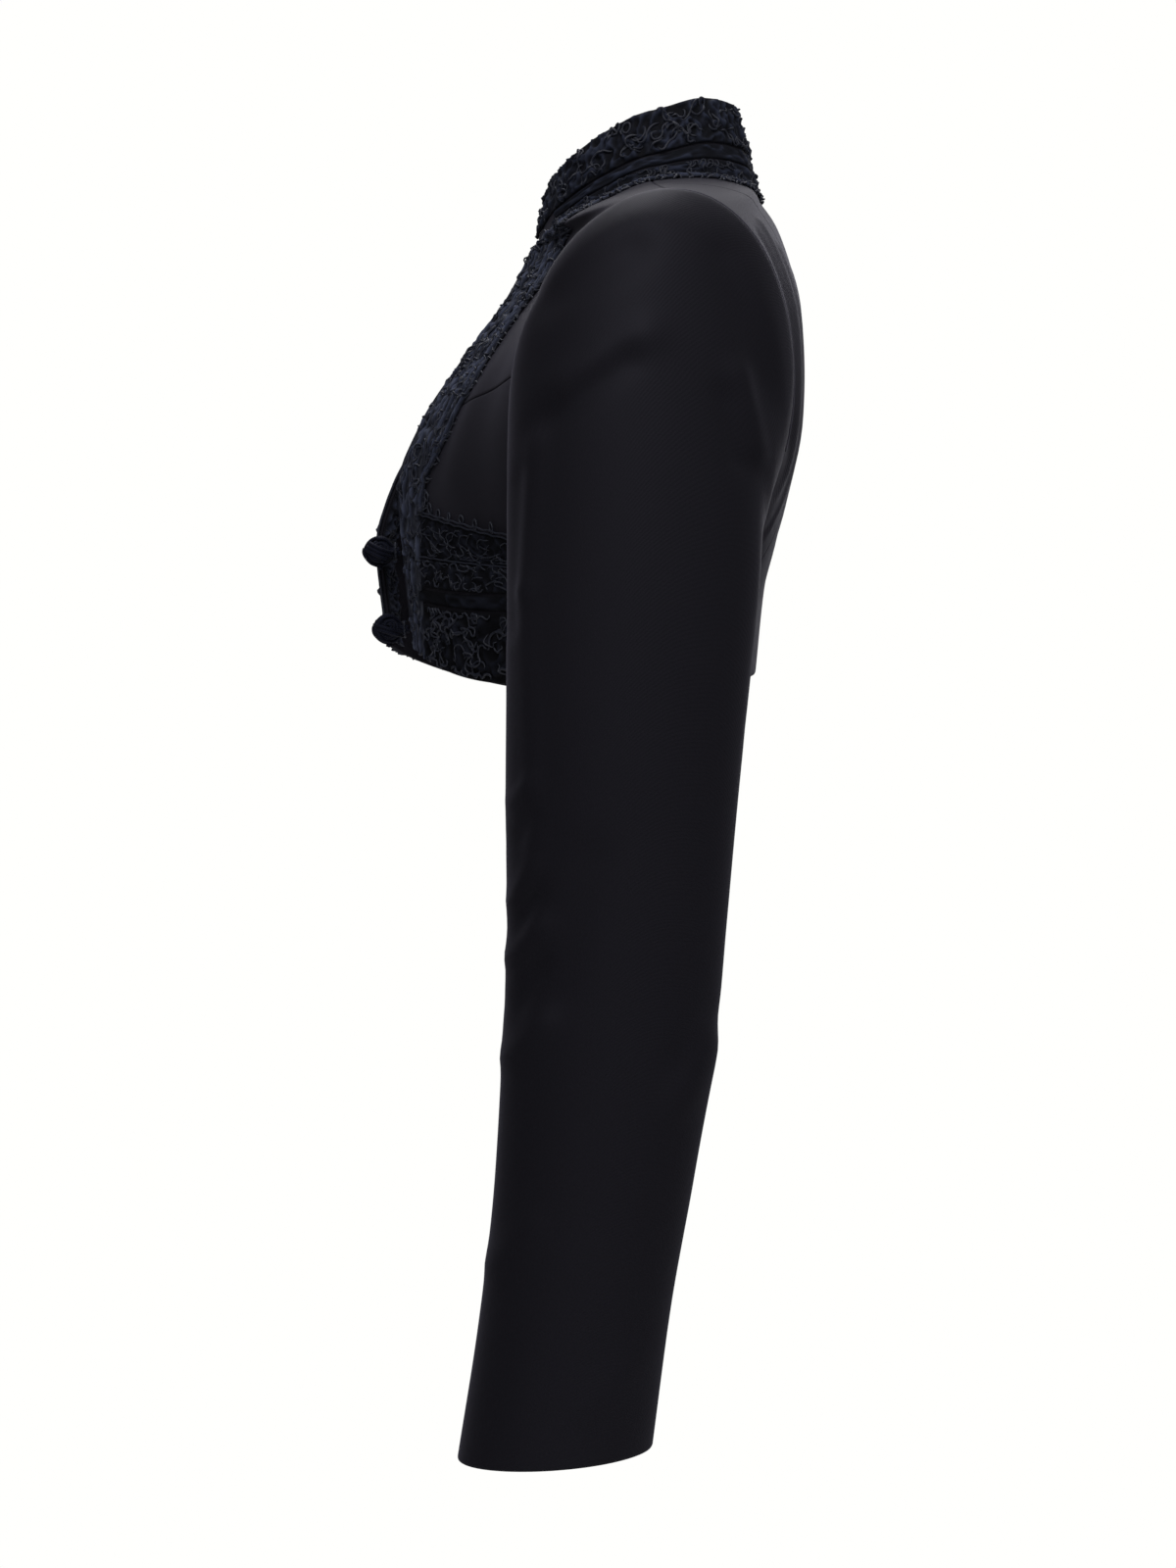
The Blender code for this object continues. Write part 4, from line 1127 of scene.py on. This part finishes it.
def front_band(side, ground, felt, cord):
    """The felted band along one front, with two cords at its edge. The right one is also turned inside."""

    def high(along):
        return np.minimum(trim_start(ground.row_at(along)) - TRIM_GAP, BAND_WIDTH)

    top = float(ground.along_at(BAND_TOP_ROW))
    band = felted(ground, "front_band", BAND_START, top, level(BAND_INSET), high)
    piece = band.piece(f"front_band_{side}", felt)
    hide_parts(f"front_trim_{side}")
    bundle = CordBundle()
    curls(bundle, band, "front_band", CURL_INSET, top, level(BAND_INSET), high)
    edge = np.arange(BAND_START, float(ground.along_at(EDGE_CORDS_TOP_ROW)), STRAND_STEP)
    for across in EDGE_CORD_PLACES:
        strand(bundle, ground, edge, np.full(edge.shape, across), *EDGE_CORD)
    if side == "R":
        ends = [float(ground.along_at(row)) for row in TURNED_ROWS]
        edges = (level(TURNED_INSET), level(TURNED_WIDTH))
        turned = felted(Underside(ground), "turned_band", *ends, *edges)
        turned.piece("turned_band_R", felt)
        curls(bundle, turned, "turned_band", *ends, *edges)
    bundle.piece(f"front_curls_{side}", cord, "cord")


def front_strip(side, ground, felt, cord):
    """The strip beside a front band: cords along it, curls over it and loose ends at its far edge."""

    def low(along):
        return trim_start(ground.row_at(along))

    def high(along):
        row = ground.row_at(along)
        return trim_start(row) + STRIP_WIDTH * np.interp(row, *np.array(STRIP_SHARES).T)

    first = float(ground.along_at(HEM_TRIM_TOP + STRIP_ABOVE_HEM_TRIM))
    last = float(ground.along_at(STRIP_TOP_ROW))
    strip = felted(ground, "front_strip", first, last, low, high)
    piece = strip.piece(f"front_strip_{side}", felt)
    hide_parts(f"front_braid_{side}")
    bundle = CordBundle()
    run = np.arange(first, last, STRAND_STEP)
    for share, radius in STRIP_CORDS:
        across = low(run) + share * (high(run) - low(run))
        strand(bundle, strip, run, across, STRIP_CORD_HEIGHT, radius, STRIP_CORD_WOBBLE)
    curls(bundle, strip, "front_strip", first, last, low, high)
    hooks(bundle, ground, "front_strip", first, last, high)
    cords = bundle.piece(f"front_strip_curls_{side}", cord, "cord")


def neck_edging(side, ground, felt, cord):
    """The loose edge on shoulder and back below the collar, from the front strip to the centre back."""

    def high(along):
        flared = 1 - ease((ground.row_at(along) - NECK_FLARE_FROM) / NECK_FLARE_ROWS)
        return NECK_EDGE_WIDTH + NECK_FLARE * flared

    first = float(ground.along_at(EDGING_FIRST_ROW))
    last = float(ground.along_at(ROW["back_neck"])) + GROUND_STEP
    edging = felted(ground, "neck_edging", first, last, level(EDGING_INSET), high, EDGING_STEP)
    piece = edging.piece(f"neck_edging_{side}", felt)
    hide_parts(f"neck_edge_{side}")
    bundle = CordBundle()
    curls(bundle, edging, "neck_edging", first, last, level(EDGING_CURL_INSET), high)
    hooks(bundle, ground, "neck_edging", first, last, high)
    cords = bundle.piece(f"neck_curls_{side}", cord, "cord")


def front_trim(side, felt, cord):
    """All the trim along one front's edge and neckline."""
    ground = front_ground(ROW["back_neck"], TRIM_REACH, side == "R")
    front_band(side, ground, felt, cord)
    front_strip(side, ground, felt, cord)
    neck_edging(side, ground, felt, cord)


def hem_trim(side, felt, cord):
    """The banded trim above the front hem, from the front band to near the side seam."""
    right = side == "R"
    front = front_ground(HEM_GROUND_TOP, HEM_REACH, right)
    # The bands run across the front's ground, between two heights up the front edge
    ground = TurnedGround(front)
    top = float(front.along_at(HEM_TRIM_TOP))
    first = HEM_TRIM_START
    last = HEM_TRIM_SIDE_SHARE * float(section_lengths(np.array([HEM_SIDE_ROW]), right)[0])
    heights = {name: [h if h > 0 else top + h for h in row] for name, row in HEM_BANDS.items()}
    bands = {}
    for name, (foot, head, _, _) in heights.items():
        bands[name] = felted(ground, f"hem_{name}", first, last, level(foot), level(head))
        bands[name].piece(f"hem_{name}_band_{side}", felt)
    braid = felted(ground, "hem_braid", first - HEM_BRAID_EARLIER, last, *[level(h) for h in HEM_BRAID])
    braid = braid.piece(f"hem_braid_{side}", felt)
    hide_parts(f"hem_trim_{side}")
    bundle = CordBundle()
    for name, (_, _, foot, head) in heights.items():
        curls(bundle, bands[name], f"hem_{name}", first, last, level(foot), level(head))
    run = np.arange(first - HEM_CORD_EARLIER, last, HEM_CORD_STEP)
    for height in [HEM_LOW_CORD] + [top + rise for rise in HEM_TOP_CORDS]:
        strand(bundle, ground, run, np.full(run.shape, height), *HEM_CORD)
    shift = RIGHT_PICOT_SHIFT if right else 0.0
    picots(bundle, ground, [(place + shift, top + rise, size) for place, rise, size in PICOTS])
    cords = bundle.piece(f"hem_curls_{side}", cord, "cord")


# Buttons


def front_edge(height, right):
    """The front edge's place at a height."""
    rows = np.linspace(0.0, ROW["front_neck"], EDGE_STEPS)
    edge = body(rows, np.zeros((len(rows), 1)), right)[:, 0]
    row = np.interp(height, edge[:, 2], rows)
    near = body(np.array([row - EDGE_ROWS, row + EDGE_ROWS]), np.zeros((2, 1)), right)
    return near[:, 0].mean(axis=0)


def wound(bundle, center, axis, radius, thick, reach):
    """Cord wound round a ball about an axis, as far as a latitude in degrees on both sides of its middle."""
    axis = unit(np.array(axis, float))
    side = unit(np.cross(axis, WINDING_START))
    other = np.cross(axis, side)
    turns = math.radians(2 * reach) * radius / (2 * thick)
    step = np.linspace(0.0, 1.0, int(turns * WINDING_STEPS) + 8)
    latitude = np.radians(2 * reach * step - reach)
    angle = 2 * math.pi * turns * step
    out = np.cos(latitude)[:, None] * (np.cos(angle)[:, None] * side + np.sin(angle)[:, None] * other)
    out = out + np.sin(latitude)[:, None] * axis
    wave_x, wave_z = LUMP_WAVES
    lumps = np.sin(wave_x * radius * out[:, 0] + 1.0) * np.sin(wave_z * radius * out[:, 2] + 2.0)
    bundle.add(center + (radius + BALL_LUMP * (lumps[:, None] - 1)) * out, out, thick)


def ball_button(number, height, thread):
    """A ball knot: cord wound about one axis, with more windings crossed over it, on a short shank."""
    seat = front_edge(height, False)[1] - SEAT_HEIGHT
    center = np.array((BUTTON_X, seat - LOOP_ROOM - BUTTON_RADIUS, height))
    crossing = CROSSING_AXES[number - 1]
    axes = (WINDING_AXIS, crossing, np.cross(crossing, CROSSING_ASIDE))
    bundle = CordBundle()
    for axis, (out, reach) in zip(axes, WINDINGS):
        wound(bundle, center, axis, BUTTON_RADIUS + out * BUTTON_CORD, BUTTON_CORD, reach)
    turn = np.linspace(0.0, 2 * math.pi * SHANK_TURNS, SHANK_STEPS)
    around = np.stack((np.cos(turn), np.zeros(SHANK_STEPS), np.sin(turn)), axis=-1)
    shank = center + SHANK_WIND * around
    shank[:, 1] = np.linspace(center[1] + BUTTON_RADIUS - SHANK_SUNK, seat + SHANK_SUNK, SHANK_STEPS)
    bundle.add(shank, around, SHANK_CORD)
    knob = center + np.array((0.0, KNOB_BACK, -BUTTON_RADIUS - KNOB_DOWN))
    wound(bundle, knob, KNOB_AXIS, KNOB_RADIUS, KNOB_CORD, KNOB_REACH)
    piece = bundle.piece(f"wound_ball_{number}", thread, "button_thread")
    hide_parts(f"ball_button_{number}")


def button_loop(number, height, cord):
    """A twisted cord from the right front's edge round a button's shank and back."""
    edge = front_edge(height, True)
    loop_y = front_edge(height, False)[1] - SEAT_HEIGHT - LOOP_ROOM / 2
    reach = SHANK_RADIUS + LOOP_THICK / 2 + LOOP_SLACK
    root_x = -edge[0] + LOOP_ROOT_IN
    root_y = edge[1] + LOOP_ROOT_BACK
    leg = ((root_x, root_y), (root_x + LOOP_LEG, root_y), (LOOP_BEND_X, loop_y))
    arc = np.radians(np.linspace(90, -90, LOOP_ARC_STEPS))
    route = [(x, y, height + reach) for x, y in leg]
    route += [(BUTTON_X + reach * math.cos(a), loop_y, height + reach * math.sin(a)) for a in arc]
    route += [(x, y, height - reach) for x, y in leg[::-1]]
    route = np.array(route)
    lengths = lengths_along(route)
    run = np.linspace(0.0, lengths[-1], LOOP_STEPS)
    middle = np.stack([np.interp(run, lengths, route[:, axis]) for axis in range(3)], axis=-1)
    for _ in range(LOOP_SMOOTHINGS):
        middle[1:-1] = (middle[:-2] + 2 * middle[1:-1] + middle[2:]) / 4
    ahead = unit(np.gradient(middle, axis=0))
    up = unit(np.cross(ahead, (0.0, 1.0, 0.05)))
    other = np.cross(ahead, up)
    bundle = CordBundle()
    for phase in (0.0, math.pi):
        turn = 2 * math.pi * run / LOOP_TWIST + phase
        around = np.cos(turn)[:, None] * up + np.sin(turn)[:, None] * other
        bundle.add(middle + LOOP_PLY_OUT * around, around, LOOP_PLY)
    piece = bundle.piece(f"loop_cord_{number}", cord, "cord")
    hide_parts(f"button_loop_{number}")


# Materials


def linear(code):
    """Linear colour from an sRGB hex value."""
    parts = [int(code[i : i + 2], 16) / 255 for i in (1, 3, 5)]
    return [p / 12.92 if p <= 0.04045 else ((p + 0.055) / 1.055) ** 2.4 for p in parts] + [1.0]


def node(material, kind, links=None, **settings):
    """A node with its settings, and its inputs set to values or linked to other nodes' outputs."""
    made = material.node_tree.nodes.new(kind)
    for name, value in settings.items():
        setattr(made, name, value)
    for name, value in (links or {}).items():
        if isinstance(value, bpy.types.NodeSocket):
            material.node_tree.links.new(value, made.inputs[name])
        else:
            made.inputs[name].default_value = value
    return made


def finish(name, shader_values):
    """A new material, with its shader's constant values set on the shader itself."""
    material = bpy.data.materials.new(name)
    material.use_nodes = True
    shader = material.node_tree.nodes["Principled BSDF"]
    for socket, value in shader_values.items():
        shader.inputs[socket].default_value = value
    return material, shader


def wave_scale(spacing):
    """A wave texture's scale for lines this far apart, in metres."""
    return 2 * math.pi / (10 * spacing)


def black_twill():
    """Piece-dyed black wool twill, pressed smooth: nearly matt, with a faint nap that lights its edges."""
    material, shader = finish(
        "black_wool_twill",
        {
            "Roughness": 0.55,
            "IOR": 1.5,
            "Specular IOR Level": 0.25,
            "Sheen Weight": 0.15,
            "Sheen Roughness": 0.42,
            "Sheen Tint": linear("#d2d0e6"),
            "Specular Tint": linear("#e2e1f2"),
        },
    )
    link = material.node_tree.links.new
    flat = node(material, "ShaderNodeUVMap", uv_map="cut").outputs["UV"]
    # Twill ribs are 0.5 mm apart, and are drawn 1.2 mm apart to show in the render
    ribs = node(
        material,
        "ShaderNodeTexWave",
        {"Vector": flat, "Scale": wave_scale(0.0012 * math.sqrt(2)), "Distortion": 1.2, "Detail": 2.0},
        wave_type="BANDS",
        bands_direction="DIAGONAL",
    )
    # The nap's fibres are about 0.02 mm thick, and are drawn in tufts of 1.1 mm to show; dye and wear vary
    # over 45 mm
    nap = node(material, "ShaderNodeTexNoise", {"Vector": flat, "Scale": 1 / 0.0011, "Detail": 3.0})
    shade = node(material, "ShaderNodeTexNoise", {"Vector": flat, "Scale": 1 / 0.045, "Detail": 2.0})
    worn = node(
        material,
        "ShaderNodeMix",
        {"Factor": shade.outputs["Fac"], "A": linear("#17161b"), "B": linear("#1c1b20")},
        data_type="RGBA",
    )
    fuzzed = node(
        material,
        "ShaderNodeMix",
        {"Factor": nap.outputs["Fac"], "A": worn.outputs["Result"], "B": linear("#222127")},
        data_type="RGBA",
    )
    link(fuzzed.outputs["Result"], shader.inputs["Base Color"])
    raised = node(
        material,
        "ShaderNodeMath",
        {0: ribs.outputs["Fac"], 1: nap.outputs["Fac"]},
        operation="ADD",
    )
    bump = node(
        material,
        "ShaderNodeBump",
        {"Height": raised.outputs[0], "Strength": 0.12, "Distance": 0.0004},
    )
    link(bump.outputs["Normal"], shader.inputs["Normal"])
    return material


def pressed_fold_with_painted_highlight():
    """The same twill at the fold along the armhole seam: pressed, so smoother and shinier, and much lighter
    in colour as a painted highlight along the seam.
    """
    return finish(
        "pressed_twill_fold_painted_highlight",
        {
            # Painted highlight: this light base colour stands in for the bright line the fold catches along
            # the seam
            "Base Color": linear("#4e4c57"),
            "Roughness": 0.4,
            "Specular IOR Level": 0.5,
            "Sheen Weight": 0.3,
            "Sheen Tint": linear("#d2d0e6"),
        },
    )[0]


def twisted_plies(material, plies, pitch):
    """The slant of a cord's plies, as bands: how many lie round it, and how far apart along it, in metres."""
    flat = node(material, "ShaderNodeUVMap", uv_map="cut").outputs["UV"]
    spread = node(
        material,
        "ShaderNodeMapping",
        {"Vector": flat, "Scale": (plies * 2 * math.pi / 10, wave_scale(pitch), 1.0)},
    )
    slant = node(
        material,
        "ShaderNodeTexWave",
        {"Vector": spread.outputs["Vector"], "Scale": 1.0},
        wave_type="BANDS",
        bands_direction="DIAGONAL",
    )
    return slant.outputs["Fac"]


def curled_cord():
    """Tight rayon cord in blue-black: soft gloss on each curl, with the slant of its plies."""
    material, shader = finish(
        "blue_black_rayon_cord",
        {
            "Roughness": 0.42,
            "IOR": 1.5,
            "Specular IOR Level": 0.75,
            "Sheen Weight": 0.12,
            "Sheen Roughness": 0.4,
            "Sheen Tint": linear("#c4cbe0"),
        },
    )
    link = material.node_tree.links.new
    # Two plies, 0.9 mm apart along the cord
    slant = twisted_plies(material, 2.0, 0.0009)
    # The dye varies over 6 mm, about one curl
    patch = node(material, "ShaderNodeTexCoord").outputs["Object"]
    dye = node(material, "ShaderNodeTexNoise", {"Vector": patch, "Scale": 1 / 0.006, "Detail": 2.0})
    colour = node(
        material,
        "ShaderNodeMix",
        {"Factor": dye.outputs["Fac"], "A": linear("#1a1e29"), "B": linear("#2c3142")},
        data_type="RGBA",
    )
    link(colour.outputs["Result"], shader.inputs["Base Color"])
    bump = node(material, "ShaderNodeBump", {"Height": slant, "Strength": 0.3, "Distance": 0.0002})
    link(bump.outputs["Normal"], shader.inputs["Normal"])
    return material


def felted_band(name, dark, light, bloom):
    """Rayon cord felted into flat bands: matt, with a bloom of fibres on its ridges, and painted shade in its
    pits.
    """
    material, shader = finish(
        name,
        {
            "Roughness": 0.72,
            "IOR": 1.5,
            "Specular IOR Level": 0.20,
            "Sheen Weight": bloom,
            "Sheen Roughness": 0.5,
            "Sheen Tint": linear("#c4cbe0"),
        },
    )
    link = material.node_tree.links.new
    place = node(material, "ShaderNodeTexCoord").outputs["Object"]
    # Fibres are about 0.02 mm thick, and are drawn in tufts of 0.6 mm to show; the dye varies over 5 mm
    tufts = node(material, "ShaderNodeTexNoise", {"Vector": place, "Scale": 1 / 0.0006, "Detail": 3.0})
    dye = node(material, "ShaderNodeTexNoise", {"Vector": place, "Scale": 1 / 0.005, "Detail": 2.0})
    ridge = node(
        material,
        "ShaderNodeMix",
        {"Factor": dye.outputs["Fac"], "A": linear(dark), "B": linear(light)},
        data_type="RGBA",
    )
    # Painted shade: the colour falls towards near black where the relief is low, for the shade in the pits
    rise = node(material, "ShaderNodeAttribute", attribute_name="relief").outputs["Fac"]
    pit_shade_mask = node(material, "ShaderNodeMath", {0: rise, 1: 2.0}, operation="POWER")
    colour = node(
        material,
        "ShaderNodeMix",
        {"Factor": pit_shade_mask.outputs[0], "A": linear("#050508"), "B": ridge.outputs["Result"]},
        data_type="RGBA",
    )
    link(colour.outputs["Result"], shader.inputs["Base Color"])
    bump = node(
        material,
        "ShaderNodeBump",
        {"Height": tufts.outputs["Fac"], "Strength": 0.5, "Distance": 0.0003},
    )
    link(bump.outputs["Normal"], shader.inputs["Normal"])
    return material


def button_thread():
    """Blue-black cotton cord wound on the balls: duller than the trim, with a fine twist."""
    material, shader = finish(
        "blue_black_cotton_cord",
        {
            "Roughness": 0.6,
            "Specular IOR Level": 0.25,
            "Specular Tint": linear("#c4cbe8"),
            "Sheen Weight": 0.05,
        },
    )
    link = material.node_tree.links.new
    # Three plies, 1 mm apart along the cord
    slant = twisted_plies(material, 3.0, 0.0010)
    # Painted shade and highlight: the colour follows the plies' height, darker in the grooves and lighter on
    # the crests
    colour = node(
        material,
        "ShaderNodeMix",
        {"Factor": slant, "A": linear("#0c0d15"), "B": linear("#232636")},
        data_type="RGBA",
    )
    link(colour.outputs["Result"], shader.inputs["Base Color"])
    bump = node(material, "ShaderNodeBump", {"Height": slant, "Strength": 0.4, "Distance": 0.0003})
    link(bump.outputs["Normal"], shader.inputs["Normal"])
    return material


def pale_floor():
    """Matt white paper under the jacket."""
    material, shader = finish("white_paper", {"Roughness": 0.9, "Specular IOR Level": 0.1})
    place = node(material, "ShaderNodeTexCoord").outputs["Object"]
    # A faint change of shade over half a metre
    grain = node(material, "ShaderNodeTexNoise", {"Vector": place, "Scale": 1 / 0.5})
    colour = node(
        material,
        "ShaderNodeMix",
        {"Factor": grain.outputs["Fac"], "A": linear("#f2f1ee"), "B": linear("#f7f6f3")},
        data_type="RGBA",
    )
    material.node_tree.links.new(colour.outputs["Result"], shader.inputs["Base Color"])
    return material


# The whole jacket


def half_jacket(side, twill, pressed):
    """The panels and the sleeve of one side."""
    right = side == "R"
    for name, (solid, first, last, shares, size, flat, area) in PANELS.items():
        panel = body_panel(f"{name}_{side}", ROW[first], ROW[last], *shares, *size, twill, right)
        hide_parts(f"{solid}_{side}")
    for name, (solid, seams, width, flat, area) in SLEEVE_PIECES.items():
        panel = sleeve_panel(f"{name}_{side}", seams, width, twill, right)
        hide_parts(f"{solid}_{side}")
    # The fold's material is shinier twill with a painted highlight along the armhole seam
    seam_fold(f"armhole_fold_{side}", pressed, right)


def jacket():
    """All the pieces of the jacket."""
    twill = black_twill()
    # The fold's twill: pressed shine, and a lighter colour as a painted highlight
    pressed = pressed_fold_with_painted_highlight()
    cord = curled_cord()
    # One felt in three shades: the front's lighter copy is painted light on the up-facing front trim,
    # and the hem's darker copy is painted shade on the down-facing hem
    felt = felted_band("felted_rayon_collar_braid", "#2d3242", "#474e63", 0.08)
    felt_painted_light = felted_band("felted_rayon_braid_painted_light", "#3c4254", "#666e88", 0.24)
    felt_painted_shade = felted_band("felted_rayon_braid_painted_shade", "#181b25", "#2b2f3d", 0.0)
    thread = button_thread()
    for side in ("L", "R"):
        half_jacket(side, twill, pressed)
    stand = collar_panel("stand_collar", twill)
    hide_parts("collar")
    collar_trim(felt, cord)
    for side in ("L", "R"):
        front_trim(side, felt_painted_light, cord)
        hem_trim(side, felt_painted_shade, cord)
    for number, height in enumerate(BUTTON_HEIGHTS, 1):
        ball_button(number, height, thread)
        button_loop(number, height, cord)


# Studio


def area_light(name, place, aim, size, energy):
    """A soft rectangular light that faces its aim."""
    data = bpy.data.lights.new(name, "AREA")
    data.shape = "RECTANGLE"
    data.size, data.size_y = size
    data.energy = energy
    data.color = linear(STUDIO_COLOUR)[:3]
    light = bpy.data.objects.new(name, data)
    light.location = place
    way = np.array(place) - np.array(aim)
    light.rotation_euler = (
        math.atan2(math.hypot(way[0], way[1]), way[2]),
        0.0,
        math.atan2(way[0], -way[1]),
    )
    bpy.context.scene.collection.objects.link(light)


def surroundings():
    """White to the camera, and a dim room for the cloth: paler above and on the camera's side, dark below."""
    world = bpy.data.worlds.new("white_studio")
    world.use_nodes = True
    nodes = world.node_tree.nodes
    dim = nodes["Background"]
    dim.inputs["Color"].default_value = linear(STUDIO_COLOUR)
    way = node(world, "ShaderNodeTexCoord").outputs["Generated"]
    parts = node(world, "ShaderNodeSeparateXYZ", {"Vector": way})
    light = []
    for axis, low, high, dark, bright in ROOM_LIGHT:
        ends = {"From Min": low, "From Max": high, "To Min": dark, "To Max": bright}
        fade = node(world, "ShaderNodeMapRange", {"Value": parts.outputs[axis], **ends})
        light.append(fade.outputs["Result"])
    level_light = node(world, "ShaderNodeMath", {0: light[1], 1: light[2]}, operation="MULTIPLY")
    strength = node(world, "ShaderNodeMath", {0: light[0], 1: level_light.outputs[0]}, operation="MULTIPLY")
    world.node_tree.links.new(strength.outputs[0], dim.inputs["Strength"])
    white = node(world, "ShaderNodeBackground", {"Color": BACKDROP, "Strength": 1.0})
    seen = node(world, "ShaderNodeLightPath").outputs["Is Camera Ray"]
    both = node(world, "ShaderNodeMixShader", {0: seen, 1: dim.outputs[0], 2: white.outputs[0]})
    world.node_tree.links.new(both.outputs[0], nodes["World Output"].inputs["Surface"])
    return world


def studio():
    """A pale floor, three soft lights, white surroundings and the photograph's camera."""
    scene = bpy.context.scene
    scene.view_settings.view_transform = "Standard"
    mesh = bpy.data.meshes.new("floor")
    turn = np.linspace(0.0, 2 * math.pi, FLOOR_SIDES, endpoint=False)
    rim = np.stack((FLOOR_RADIUS * np.cos(turn), FLOOR_RADIUS * np.sin(turn), 0 * turn), axis=-1)
    mesh.from_pydata(rim.tolist(), [], [list(range(FLOOR_SIDES))])
    mesh.materials.append(pale_floor())
    floor = bpy.data.objects.new("floor", mesh)
    floor.location = (0.0, 0.0, FLOOR_HEIGHT)
    scene.collection.objects.link(floor)
    scene.world = surroundings()
    for light in STUDIO_LIGHTS:
        area_light(*light)
    data = bpy.data.cameras.new("camera")
    data.sensor_width = SENSOR
    data.lens = FOCAL_PIXELS / PHOTO_HEIGHT * SENSOR
    camera = bpy.data.objects.new("camera", data)
    camera.location = CAMERA_PLACE
    camera.rotation_euler = [math.radians(turn) for turn in CAMERA_TURN]
    scene.collection.objects.link(camera)
    scene.camera = camera


studio()
jacket()
